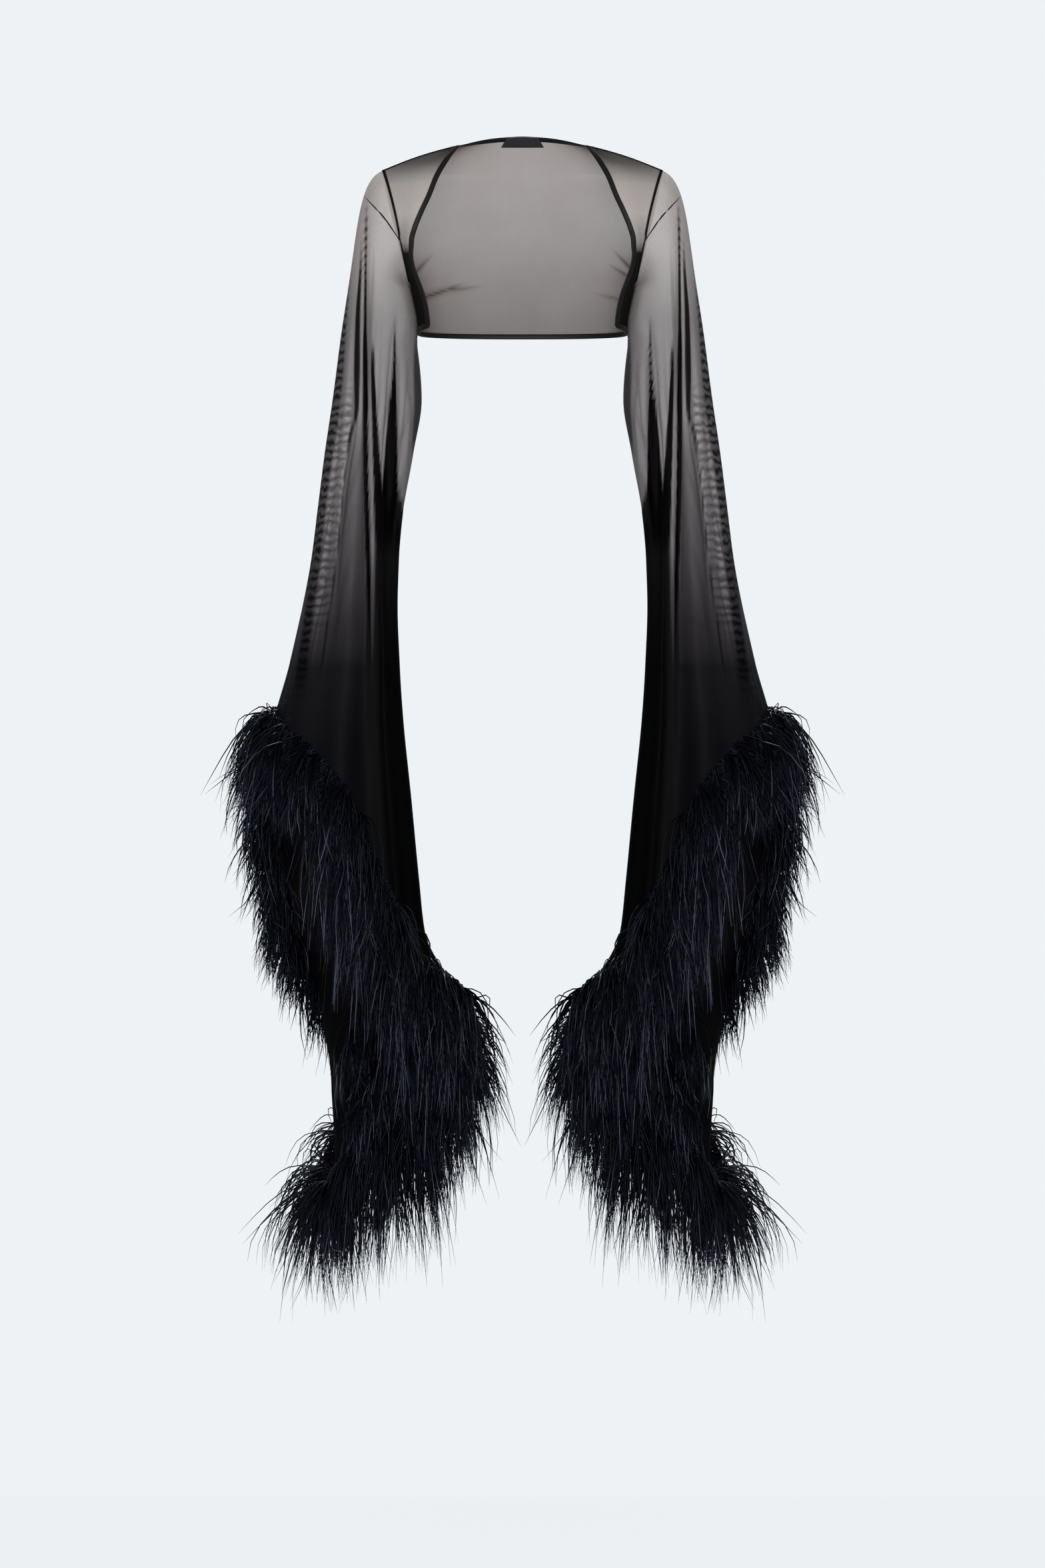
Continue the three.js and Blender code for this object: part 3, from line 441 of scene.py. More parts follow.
# The fronts: a narrow shaped piece of the same net on each side, from the shoulder seam to the hem, with a
# curved free edge. They are sewn to the back at the shoulders and sides and never meet in the middle.
FRONT_EDGE = {
    "down": (7, 24, 48, 75, 98, 118, 135, 152, 168, 188, 208, 230, 246),
    "across": (90, 102, 115.5, 126, 136.5, 144.5, 149, 149.5, 147, 140, 133, 128, 126.5),
    "back": (2, -24, -41, -51, -56, -57, -54, -50, -49, -50, -51, -52, -47),
}
CORNER_DOWN = 246
# Each row bulges by a tenth of its width. Its level falls with the way down the armhole to the power "settles".
FRONT_BULGE, FULLEST, SETTLES = 0.1, 6.75, 0.9
FRONT_COLUMNS = 20


def front_grid():
    """The left front: rows from the shoulder seam to the hem, columns from the side to the free edge."""
    steps = np.linspace(0, ARMHOLE_STEPS + SIDE_STEPS, FINER * (ARMHOLE_STEPS + SIDE_STEPS) + 1)
    side = side_of(steps, lambda share: share / 2)
    beside = np.clip(steps / ARMHOLE_STEPS, 0, 1) ** SETTLES
    below = np.clip((steps - ARMHOLE_STEPS) / SIDE_STEPS, 0, 1)
    down = mix(mix(-NECK_POINT[2], UNDERARM_DOWN, beside), CORNER_DOWN, below)
    chord = place_on(FRONT_EDGE, "down", down) - side
    outward = unit(np.stack([-chord[:, 1], chord[:, 0], 0 * down], -1))
    share = np.linspace(0, 1, FRONT_COLUMNS + 1)[None, :, None]
    bulge = FRONT_BULGE * np.linalg.norm(chord, axis=-1)[:, None, None] * FULLEST * share**2 * (1 - share)
    panel = side[:, None] + chord[:, None] * share + outward[:, None] * bulge
    onto_seam = ease(0, 1, steps)[:, None, None]
    return mix(shoulder_seam(1 - share[..., 0]), panel, onto_seam)


front_points = front_grid()
# The colour ramp is a painted sheen: pale grey across the middle of each front, darker up towards the shoulder
# seam, and near black more than 0.14 m under the origin, where the net also hides far more.
front_cloth = sheer_net(
    "knitted_nylon_net_front",
    painted_sheen_colours=[(-0.25, "#0d0c0e"), (-0.152, "#151416"), (-0.138, "#8d8886"), (-0.10, "#b4aeaa"),
                   (-0.06, "#aaa49f"), (-0.03, "#5f5b59"), (-0.01, "#2c2a2a")],
    cover=[(-0.25, 0.92), (-0.152, 0.88), (-0.14, 0.42), (-0.1, 0.38), (-0.05, 0.42), (-0.03, 0.52),
           (-0.01, 0.7)],
)
for side, mirrored in (("left", False), ("right", True)):
    front = net_panel(f"front_net_{side}", front_points, np.zeros(front_points.shape[:2]), mirrored=mirrored)
    front.data.materials.append(front_cloth)
    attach(front, "root")
    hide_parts(f"front_{side}")


# The sleeves: one piece of net each, closed by a seam under the arm and cut as a very long bell. The hem is
# high over the arm and drops round the front to a long point behind, where the cloth hangs in a free flap.
SLEEVE = {
    "down": (200, 252, 343, 414, 485, 556, 627, 697, 764, 874, 981, 1051, 1140, 1228, 1397),
    "outer": (232, 240, 252, 262.5, 271.5, 280.5, 294, 310, 329, 353, 362, 356, 330, 318, 325),
    "inner": (154, 142.5, 134, 146, 161, 171.5, 175, 172.5, 168, 156.5, 146, 138, 94, 84, 96),
    "front": (-56, -59, -63, -66, -69, -72, -76, -81, -86, -92, -94, -92, -84, -72, -62),
    "back": (60, 63, 67, 70, 73, 77, 81, 84, 86, 82, 76, 72, 66, 60, 56),
}
SLEEVE_HEAD_DOWN, BELL_DOWN = 200, 690
FRONT_HEM = {
    "around": (0, 0.07, 0.14, 0.21, 0.27, 0.32, 0.36, 0.4, 0.45, 0.5, 0.545, 0.59, 0.635, 0.68, 0.72, 0.76),
    "down": (755, 765, 783, 812, 850, 910, 985, 1050, 1098, 1140, 1195, 1245, 1282, 1308, 1335, 1396),
}
BACK_HEM = {
    "down": (755, 811, 870, 925, 985, 1050, 1110, 1170, 1250, 1320, 1396),
    "around": (1, 0.975, 0.95, 0.93, 0.91, 0.89, 0.87, 0.85, 0.825, 0.795, 0.76),
    "across": (329, 336, 338, 334, 325, 309, 285, 246, 210, 238, 258),
    "back": (0, 24, 47, 66, 82, 98, 118, 134, 138, 124, 98),
    "heading": (-90, -76, -65, -50, -25, 20, 80, 140, 170, 135, 85),
    "reach": (75, 60, 52, 50, 55, 58, 62, 105, 130, 80, 45),
}
FLAP_LEAVES, FLAP_FROM, FLAP_FREE, FLAP_OPEN_DOWN, NUDGE = 45, 0.64, 0.74, 840, 0.01
# The broad hanging folds: soft ridges along one share of the columns, from "start" to full depth at "full".
SLEEVE_FOLDS = rows_of(
    "column half start full depth",
    (0.075, 0.045, 330, 700, 8), (0.165, 0.042, 150, 520, 9),
    (0.25, 0.04, 190, 620, 11), (0.335, 0.042, 240, 480, 11),
    (0.425, 0.042, 330, 700, 8), (0.525, 0.045, 300, 760, 6),
    (0.615, 0.045, 210, 600, 10), (0.705, 0.044, 170, 560, 11),
    (0.795, 0.042, 200, 640, 10), (0.885, 0.042, 280, 700, 8),
)
SLEEVE_COLUMNS = 250
SLEEVE_ROWS = {"head": 16, "arm": 40, "bell": 32}
# Over the head the cloth leaves the seam at a tilt, in radians, and bends by shares of its own reach.
HEAD = {"tilt_over": 0.32, "tilt_under": 0.9, "sideways": 0.35, "leaves": 0.2, "arrives": 0.55}


def oval(around, down):
    """A level section of the sleeve: 0 is its outer side, 0.25 its front and 0.5 its inner side."""
    side = {c: read(SLEEVE, "down", c, down) for c in ("outer", "inner", "front", "back")}
    angle = 2 * np.pi * around
    across = mix(side["inner"], side["outer"], (1 + np.cos(angle)) / 2)
    return np.stack([across, mix(side["back"], side["front"], (1 + np.sin(angle)) / 2), -down], -1)


def bezier(start, second, third, end, share):
    rest = 1 - share
    return start * rest**3 + 3 * second * rest**2 * share + 3 * third * rest * share**2 + end * share**3


def open_section(around, down):
    """Below the top of the hem the back of the section doesn't close: it turns and hangs in behind."""
    around, down = np.broadcast_arrays(around, down)
    closed = oval(around, down)
    opened = ease(BACK_HEM["down"][0], FLAP_OPEN_DOWN, down)[..., None]
    edge = {c: read(BACK_HEM, "down", c, down) for c in ("around", "across", "back", "heading", "reach")}
    before, start, after = (oval(np.full_like(down, FLAP_FROM + step), down) for step in (-NUDGE, 0, NUDGE))
    leaving = unit(after - before)
    heading = np.radians(edge["heading"])
    arriving = np.stack([np.cos(heading), np.sin(heading), 0 * heading], -1)
    end = np.stack([edge["across"], edge["back"], -down], -1)
    share = np.clip((around - FLAP_FROM) / (edge["around"] - FLAP_FROM), 0, 1)[..., None]
    flap = bezier(start, start + leaving * FLAP_LEAVES, end - arriving * edge["reach"][..., None], end, share)
    return np.where((around <= FLAP_FROM)[..., None], closed, mix(closed, flap, opened))


def fold_height(column, around, down):
    """How far the broad folds lift the cloth. The open flap at the back falls smooth."""
    height = 0
    for fold in SLEEVE_FOLDS:
        off = np.clip(np.abs(column - fold["column"]) / fold["half"], 0, 1)
        ridge = np.cos(np.pi / 2 * off) ** 2
        height = height + fold["depth"] * ease(fold["start"], fold["full"], down) * ridge
    return height * (1 - ease(FLAP_FROM, FLAP_FREE, around) * ease(BELL_DOWN, BACK_HEM["down"][0], down))


def hanging(column, around, down):
    """Points of the hanging sleeve with its broad folds."""
    column, around, down = np.broadcast_arrays(column, around, down)
    step = open_section(around + NUDGE, down) - open_section(around - NUDGE, down)
    outward = unit(np.stack([-step[..., 1], step[..., 0], 0 * down], -1))
    return open_section(around, down) + outward * fold_height(column, around, down)[..., None]


def sleeve_head(around, share):
    """Points over the sleeve's head, from the armhole seam to the first level section."""
    start = place_on(ARMHOLE, "around", around)
    down = np.full_like(around, SLEEVE_HEAD_DOWN)
    end = hanging(around, around, down)
    reach = np.linalg.norm(end - start, axis=-1)[..., None]
    tilt = mix(HEAD["tilt_over"], HEAD["tilt_under"], (1 - np.cos(2 * np.pi * around)) / 2)
    sideways = -HEAD["sideways"] * np.sin(2 * np.pi * around)
    leaving = unit(np.stack([np.cos(tilt), sideways * np.cos(tilt), -np.sin(tilt)], -1))
    arriving = unit(hanging(around, around, down + 1) - end)
    return bezier(start, start + leaving * reach * HEAD["leaves"], end - arriving * reach * HEAD["arrives"],
                  end, share)


def hem_station(column):
    """Where a column ends on the hem: at equal steps through the rows of the two hem tables."""
    front_spans, back_spans = len(FRONT_HEM["down"]) - 1, len(BACK_HEM["down"]) - 1
    place = column * (front_spans + back_spans)
    front_around = np.interp(place, np.arange(front_spans + 1), FRONT_HEM["around"])
    back_down = np.interp(front_spans + back_spans - place, np.arange(back_spans + 1), BACK_HEM["down"])
    on_back = place > front_spans
    around = np.where(on_back, read(BACK_HEM, "down", "around", back_down), front_around)
    return around, np.where(on_back, back_down, read(FRONT_HEM, "around", "down", front_around))


def sleeve_grid():
    """The left sleeve: rows from the armhole to the hem, columns once round from its outer side."""
    column = np.arange(SLEEVE_COLUMNS)[None] / SLEEVE_COLUMNS
    station_around, station_down = hem_station(column)
    head_share = np.linspace(0, 1, SLEEVE_ROWS["head"], endpoint=False)[:, None]
    arm_share = np.linspace(0, 1, SLEEVE_ROWS["arm"], endpoint=False)[:, None]
    bell_share = np.linspace(0, 1, SLEEVE_ROWS["bell"] + 1)[:, None]
    head = sleeve_head(column + 0 * head_share, head_share[..., None])
    arm = hanging(column, mix(column, station_around, ease(0, 1, arm_share)),
                  mix(SLEEVE_HEAD_DOWN, BELL_DOWN, arm_share) + 0 * column)
    bell = hanging(column, station_around, mix(BELL_DOWN, station_down, bell_share))
    return np.concatenate([head, arm, bell], 0)


# The sharper creases: where each runs, as places across and down on the front or the back of the sleeve, how
# deep it is pushed in (below 0 is a ridge) and half its width.
SLEEVE_CREASES = rows_of(
    "side down across deep wide",
    ("front", (60, 237, 503, 742), (205, 208, 206, 202), 5, 4),
    ("front", (150, 400, 640), (198, 197, 196), -4, 4),
    ("front", (215, 350, 500), (165, 175, 186), 6, 5),
    ("front", (300, 400, 520), (166, 170, 178), -5, 4),
    ("front", (290, 400, 560), (145, 156, 176), 5, 4),
    ("front", (340, 450, 520, 640), (213, 234, 242, 250), 5, 4),
    ("front", (220, 400, 650), (226, 236, 262), -4, 5),
    ("front", (70, 105, 140), (208, 183, 157), 3, 3),
    ("back", (120, 400, 760), (215, 236, 262), 6, 5),
    ("back", (180, 450, 760), (188, 205, 224), 5, 5),
    ("back", (260, 520, 800), (168, 192, 205), 5, 4),
)
# They begin and end this far beyond their places, turn round the sides within this depth, and are whole
# between these shares of their length.
CREASE_ENDS, CREASE_TURNS, CREASE_WHOLE = 10, 14, (0.25, 0.7)


def hang_creases(grid):
    """How far each point of a sleeve is pushed in by its sharper creases."""
    middle = grid[..., 1].mean(1, keepdims=True)
    depth = np.zeros(grid.shape[:2])
    down = -grid[..., 2]
    for fold in SLEEVE_CREASES:
        on_side = ease(0, CREASE_TURNS, (middle - grid[..., 1]) * (1 if fold["side"] == "front" else -1))
        off = grid[..., 0] - read(fold, "down", "across", down)
        first, last = fold["down"][0], fold["down"][-1]
        begun = ease(first - CREASE_ENDS, mix(first, last, CREASE_WHOLE[0]), down)
        fade = begun * (1 - ease(mix(first, last, CREASE_WHOLE[1]), last + CREASE_ENDS, down))
        depth += fold["deep"] * fade * on_side * np.exp(-((off / fold["wide"]) ** 2))
    return depth


# Where the sleeve's cloth lies double or in gathers it shows as a dark band: the cloth hides more there and its
# colour is darkened, a painted shade. Its two sides across, at each place down, how dark it is (below 0 the
# cloth is thinner there than around it, and its colour is painted lighter), how soft its sides are, how long it
# takes to begin and to end, and how far it shows ripples.
SLEEVE_BANDS = rows_of(
    "side down from to dark soft fade ripples",
    ("front", (70, 237, 308, 430, 552, 613, 860), (205, 205.4, 203.6, 203, 200.5, 199.5, 198),
     (208, 210, 211, 210.5, 207.6, 206, 205), 1, 0.8, (50, 90), 0),
    ("front", (262, 308, 369, 430, 485, 560), (196, 194.8, 191.4, 187.2, 184.8, 184),
     (199.4, 199.8, 198.6, 197.6, 196.2, 195.6), 1, 0.8, (30, 40), 0),
    ("front", (232, 308, 369, 430, 485, 560), (168, 166.4, 165.5, 164.9, 164, 160),
     (169.5, 172, 178, 183, 186.3, 191), 1, 0.8, (40, 40), 0),
    ("front", (440, 476, 504, 560, 760, 1150), (165, 160, 148, 90, 60, 40), (186, 188, 191, 195, 198, 199),
     0.97, 2, (40, 60), 0),
    ("front", (225, 308, 354, 384, 409, 430), (110, 110, 110, 110, 110, 110),
     (141, 144.5, 143.6, 145.7, 147, 148), 0.8, 2, (60, 30), 0),
    ("front", (130, 237, 308, 369, 430, 491, 552, 613, 674, 760),
     (222, 232, 236.6, 242.6, 251.8, 259.4, 265.5, 273, 280.7, 290),
     (260, 260, 270, 280, 290, 290, 284, 287, 294, 303), 0.72, 2.5, (110, 60), 0.5),
    ("front", (308, 369, 430, 491, 552, 613, 674), (224, 226, 235, 241, 247, 254, 262),
     (237, 243, 252, 259, 265, 273, 281), 0.1, 2.5, (60, 60), 0.8),
    ("front", (110, 170, 237, 308, 363, 393, 430), (211, 212, 214, 214.3, 216, 225, 231),
     (213.6, 215.6, 220.6, 222.4, 221.6, 229.2, 233.6), 0.97, 0.9, (70, 30), 0),
    ("front", (393, 445, 506, 558, 607, 658, 740), (225.4, 233.2, 238.6, 243.7, 250.8, 258.4, 268),
     (227.4, 235.4, 241, 246, 253, 260.5, 270), 0.85, 1.0, (30, 60), 0),
    ("front", (330, 393, 445, 506, 558, 607, 658, 740), (208, 208, 208, 207, 205, 203, 202, 201),
     (216, 226, 234, 240, 245, 252, 259.4, 268), 0.5, 1.5, (110, 120), 0),
    ("front", (590, 640, 690, 745, 830), (287, 291, 296, 303, 322), (330, 335, 340, 345, 360), -0.45, 6,
     (70, 50), 0.3),
    ("back", (590, 640, 690, 745, 830), (287, 291, 296, 303, 322), (330, 335, 340, 345, 360), -0.45, 6,
     (70, 50), 0.3),
    ("front", (1180, 1215, 1260, 1300), (236, 240, 240, 236), (262, 266, 266, 262), -0.7, 4, (30, 30), 0),
    ("back", (1180, 1215, 1260, 1300), (236, 240, 240, 236), (262, 266, 266, 262), -0.7, 4, (30, 30), 0),
    ("back", (110, 300, 500, 720), (196, 203, 214, 226), (199, 208, 221, 236), 0.7, 2.5, (80, 90), 0),
    ("back", (200, 400, 600, 800), (226, 240, 256, 284), (229, 246, 266, 296), 0.6, 2.5, (90, 90), 0),
    ("back", (240, 420, 640), (163, 168, 186), (166, 176, 196), 0.65, 2.5, (80, 90), 0),
)
BAND_TURNS = 6


def hang_bands(grid):
    """How far the cloth of a sleeve lies double, which also darkens its colour as painted shade, and how far it
    ripples, at each of its points.
    """
    middle = grid[..., 1].mean(1, keepdims=True)
    single, rippled = np.ones(grid.shape[:2]), np.zeros(grid.shape[:2])
    down = -grid[..., 2]
    for band in SLEEVE_BANDS:
        before_middle = (middle - grid[..., 1]) * (1 if band["side"] == "front" else -1)
        on_side = ease(-BAND_TURNS, BAND_TURNS, before_middle)
        start, end = read(band, "down", "from", down), read(band, "down", "to", down)
        soft, (begins, ends) = band["soft"], band["fade"]
        inside = ease(-soft, soft, grid[..., 0] - start) * ease(-soft, soft, end - grid[..., 0])
        first, last = band["down"][0], band["down"][-1]
        fade = ease(first, first + begins, down) * (1 - ease(last - ends, last, down))
        single *= 1 - band["dark"] * inside * on_side * fade
        rippled = np.maximum(rippled, band["ripples"] * inside * on_side * fade)
    return 1 - single, rippled


sleeve_points = sleeve_grid()
sleeve_points -= normals_of(sleeve_points, True) * hang_creases(sleeve_points)[..., None]
# Under the arm the sleeve's inner side lies closer to the bodice, at these places down and across.
UNDERARM = {"closer": 7, "begins": (184, 198), "ends": (238, 270), "across": (185, 160)}
sleeve_down = -sleeve_points[..., 2]
close_in = ease(*UNDERARM["begins"], sleeve_down) * (1 - ease(*UNDERARM["ends"], sleeve_down))
sleeve_points[..., 0] -= UNDERARM["closer"] * close_in * ease(*UNDERARM["across"], sleeve_points[..., 0])
sleeve_doubled_and_shade, sleeve_rippled = hang_bands(sleeve_points)
# The colour ramp is a painted sheen and shade: pale grey over the sleeve's head and upper arm, darkening down
# the sleeve to near black at the hem. The net also hides more towards the hem.
sleeve_cloth = sheer_net(
    "knitted_nylon_net_sleeve",
    painted_sheen_colours=[(-0.95, "#030203"), (-0.80, "#070608"), (-0.70, "#111012"), (-0.64, "#343134"),
                   (-0.54, "#5f5b5d"), (-0.44, "#797476"), (-0.24, "#7d7878"), (-0.15, "#aaa4a2"),
                   (-0.05, "#bab4b1")],
    cover=[(-0.95, 0.96), (-0.80, 0.90), (-0.70, 0.76), (-0.62, 0.52), (-0.54, 0.43), (-0.44, 0.39),
           (-0.05, 0.40)],
)
for side, mirrored in (("left", False), ("right", True)):
    sleeve = net_panel(f"sleeve_net_{side}", sleeve_points, sleeve_doubled_and_shade, sleeve_rippled, True, mirrored)
    sleeve.data.materials.append(sleeve_cloth)
    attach(sleeve, "root")
    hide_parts(f"sleeve_{side}")


# The seams: where the panels meet, their raw edges are laid together, trimmed and overlocked. That makes a
# bold bumpy line of black thread at the armholes, shoulders and sides, which shows on both faces of the net.
OVERLOCK = {"width": 4.2, "thickness": 2.4, "inside": 0.1, "pitch": 2.2, "thread": 0.42, "points": 9,
            "corners": 6}


def edge_guide(name, points, closed=False, **vectors):
    """A chain of edges in metres whose points carry named vectors and numbers."""
    mesh = bpy.data.meshes.new(name)
    count = len(points)
    edges = [(k, (k + 1) % count) for k in range(count if closed else count - 1)]
    mesh.from_pydata((points * MM).tolist(), edges, [])
    for key, values in vectors.items():
        values = np.asarray(values, np.float32)
        kind, field = ("FLOAT_VECTOR", "vector") if values.ndim == 2 else ("FLOAT", "value")
        mesh.attributes.new(key, kind, "POINT").data.foreach_set(field, values.ravel())
    return link(bpy.data.objects.new(name, mesh))


def made_by(tree, guide, name, values):
    """The plain mesh that a tree of Geometry Nodes makes along a guide. The guide is not kept."""
    modifier = guide.modifiers.new(tree.name, "NODES")
    modifier.node_group = tree
    for socket in tree.interface.items_tree:
        if socket.name in values:
            modifier[socket.identifier] = values[socket.name]
    mesh = bpy.data.meshes.new_from_object(guide.evaluated_get(bpy.context.evaluated_depsgraph_get()))
    mesh.name = name
    guide.modifiers.remove(modifier)
    bpy.data.objects.remove(guide)
    return link(bpy.data.objects.new(name, mesh))


def length_of(line):
    """The length of a line of points."""
    return np.linalg.norm(np.diff(line, axis=0), axis=1).sum()


def loop_frame(loop, facing):
    """Along a closed loop, to the side of it, and its facing made square to both."""
    along = unit(np.roll(loop, -1, 0) - np.roll(loop, 1, 0))
    beside = unit(np.cross(along, facing))
    return along, beside, unit(np.cross(beside, along))


def twin_of(piece, name):
    """The same piece on the wearer's other side."""
    mesh = piece.data.copy()
    mesh.name = name
    mesh.transform(Matrix.Scale(-1, 4, (1, 0, 0)))
    mesh.flip_normals()
    return link(bpy.data.objects.new(name, mesh))


def strand_group(name, numbers, at_each, length):
    """The start of a tree of Geometry Nodes: an edge with spots at equal steps, and one upright strand of
    "length" metres. "at_each" names the input that counts the spots, and "numbers" the other inputs."""
    tree = bpy.data.node_groups.new(name, "GeometryNodeTree")
    for socket, kind in (("Edge", "Geometry"), (at_each, "Int"), ("Points", "Int"), *numbers,
                         ("Dye", "Material")):
        tree.interface.new_socket(socket, in_out="INPUT", socket_type=f"NodeSocket{kind}")
    tree.interface.new_socket("Strands", in_out="OUTPUT", socket_type="NodeSocketGeometry")
    given = add_node(tree, "NodeGroupInput").outputs
    edge = add_node(tree, "GeometryNodeMeshToCurve", links={"Mesh": given["Edge"]})
    even = add_node(tree, "GeometryNodeResampleCurve",
                    links={"Curve": edge.outputs[0], "Count": given[at_each]})
    spots = add_node(tree, "GeometryNodeCurveToPoints", links={"Curve": even.outputs[0]}, mode="EVALUATED")
    line = add_node(tree, "GeometryNodeCurvePrimitiveLine", {"End": (0, 0, length)})
    strand = add_node(tree, "GeometryNodeResampleCurve",
                      links={"Curve": line.outputs[0], "Count": given["Points"]})
    return tree, given, spots.outputs["Points"], strand.outputs[0]


def strand_on_each(tree, spots, strand):
    """A strand on each spot, made real, and the share of the way along it."""
    placed = add_node(tree, "GeometryNodeInstanceOnPoints", links={"Points": spots, "Instance": strand})
    single = add_node(tree, "GeometryNodeRealizeInstances", links={"Geometry": placed.outputs[0]})
    return single.outputs[0], add_node(tree, "GeometryNodeSplineParameter").outputs["Factor"]


def finish_strands(tree, given, strands, radius):
    """The end of a tree: each strand gets three sides, becomes real and takes its material."""
    profile = add_node(tree, "GeometryNodeCurvePrimitiveCircle", {"Resolution": 3, "Radius": 1.0})
    solid = add_node(tree, "GeometryNodeCurveToMesh", {"Fill Caps": True},
                     {"Curve": strands, "Profile Curve": profile.outputs[0], "Scale": radius})
    smooth = add_node(tree, "GeometryNodeSetShadeSmooth", links={"Geometry": solid.outputs[0]})
    whole = add_node(tree, "GeometryNodeRealizeInstances", links={"Geometry": smooth.outputs[0]})
    dyed = add_node(tree, "GeometryNodeSetMaterial",
                    links={"Geometry": whole.outputs[0], "Material": given["Dye"]})
    add_node(tree, "NodeGroupOutput", links={"Strands": dyed.outputs[0]})
    return tree


def overlock_tree():
    """Loops of thread round an edge at equal steps, each a flat turn that leads on to the next."""
    tree, given, spots, strand = strand_group("overlock_thread", [("Radius", "Float")], "Loops", 0.01)
    position = add_node(tree, "GeometryNodeInputPosition").outputs[0]
    rooted = add_node(tree, "GeometryNodeStoreNamedAttribute", {"Name": "root"},
                      {"Geometry": spots, "Value": position}, data_type="FLOAT_VECTOR")
    single, way = strand_on_each(tree, rooted.outputs[0], strand)
    angle = add_node(tree, "ShaderNodeMath", {1: 2 * math.pi}, {0: way}, operation="MULTIPLY").outputs[0]
    held = {name: add_node(tree, "GeometryNodeInputNamedAttribute", {"Name": name},
                           data_type="FLOAT_VECTOR").outputs[0]
            for name in ("root", "aside", "above", "onward")}
    turned = held["root"]
    for name, operation, value in (("aside", "COSINE", angle), ("above", "SINE", angle),
                                   ("onward", "ADD", way)):
        scale = add_node(tree, "ShaderNodeMath", {1: 0.0}, {0: value}, operation=operation)
        part = add_node(tree, "ShaderNodeVectorMath", links={0: held[name], "Scale": scale.outputs[0]},
                        operation="SCALE")
        turned = add_node(tree, "ShaderNodeVectorMath", links={0: turned, 1: part.outputs[0]}).outputs[0]
    looped = add_node(tree, "GeometryNodeSetPosition", links={"Geometry": single, "Position": turned})
    return finish_strands(tree, given, looped.outputs[0], given["Radius"])


def round_places(corners):
    """Places at equal angles round a circle."""
    angle = np.linspace(0, 2 * np.pi, corners, endpoint=False)
    return np.stack([np.cos(angle), np.sin(angle)], -1)


def sections_on(line, aside, facing, places, width, thickness):
    """Closed sections on the points of a line, each of them of the same places across and above it."""
    return (line[:, None] + aside[:, None] * places[:, :1] * (width / 2)
            + facing[:, None] * places[:, 1:] * (thickness / 2))


def tube_mesh(name, sections, closed_along=True):
    """A mesh through closed sections of points, in millimetres."""
    count, corners = sections.shape[:2]
    spans = count if closed_along else count - 1
    i, c = np.meshgrid(np.arange(spans), np.arange(corners), indexing="ij")
    i, c = i.ravel(), c.ravel()
    here, ahead, turned = i * corners, (i + 1) % count * corners, (c + 1) % corners
    faces = np.stack([here + c, here + turned, ahead + turned, ahead + c], -1).tolist()
    if not closed_along:
        faces += [list(range(corners))[::-1], [(count - 1) * corners + k for k in range(corners)]]
    mesh = bpy.data.meshes.new(name)
    mesh.from_pydata((sections.reshape(-1, 3) * MM).tolist(), [], faces)
    mesh.shade_smooth()
    return mesh


def joined(name, pieces):
    """Several meshes of one material as one piece."""
    bm = bmesh.new()
    for piece in pieces:
        bm.from_mesh(piece.data)
    bmesh.ops.recalc_face_normals(bm, faces=bm.faces)
    mesh = bpy.data.meshes.new(name)
    bm.to_mesh(mesh)
    mesh.materials.append(pieces[0].data.materials[0])
    for piece in pieces:
        bpy.data.objects.remove(piece)
    return link(bpy.data.objects.new(name, mesh))


def patterned(name, sockets, texture, laid_by, marks, relief=None, **settings):
    """A material whose colour, and relief if it has one, follow one texture. "texture" is a kind of node and
    its sockets, and "marks" are the places of its colours."""
    material, tree, shader = new_material(name, sockets)
    place = add_node(tree, "ShaderNodeTexCoord").outputs[laid_by]
    pattern = add_node(tree, *texture, {"Vector": place}, **settings).outputs["Fac"]
    tone = add_node(tree, "ShaderNodeValToRGB", links={"Fac": pattern})
    set_marks(tone, [(at, linear(colour)) for at, colour in marks])
    tree.links.new(tone.outputs["Color"], shader.inputs["Base Color"])
    if relief:
        raised = add_node(tree, "ShaderNodeBump", relief, {"Height": pattern})
        tree.links.new(raised.outputs["Normal"], shader.inputs["Normal"])
    return material


# Spun polyester overlock thread, dyed black: matt, with a slightly uneven lie.
overlock_thread = patterned(
    "spun_polyester_overlock_thread", {"Roughness": 0.7, "Specular IOR Level": 0.1},
    ("ShaderNodeTexNoise", {"Scale": 700.0, "Detail": 2.0}), "Object", [(0.3, "#030304"), (0.75, "#0f0e11")])

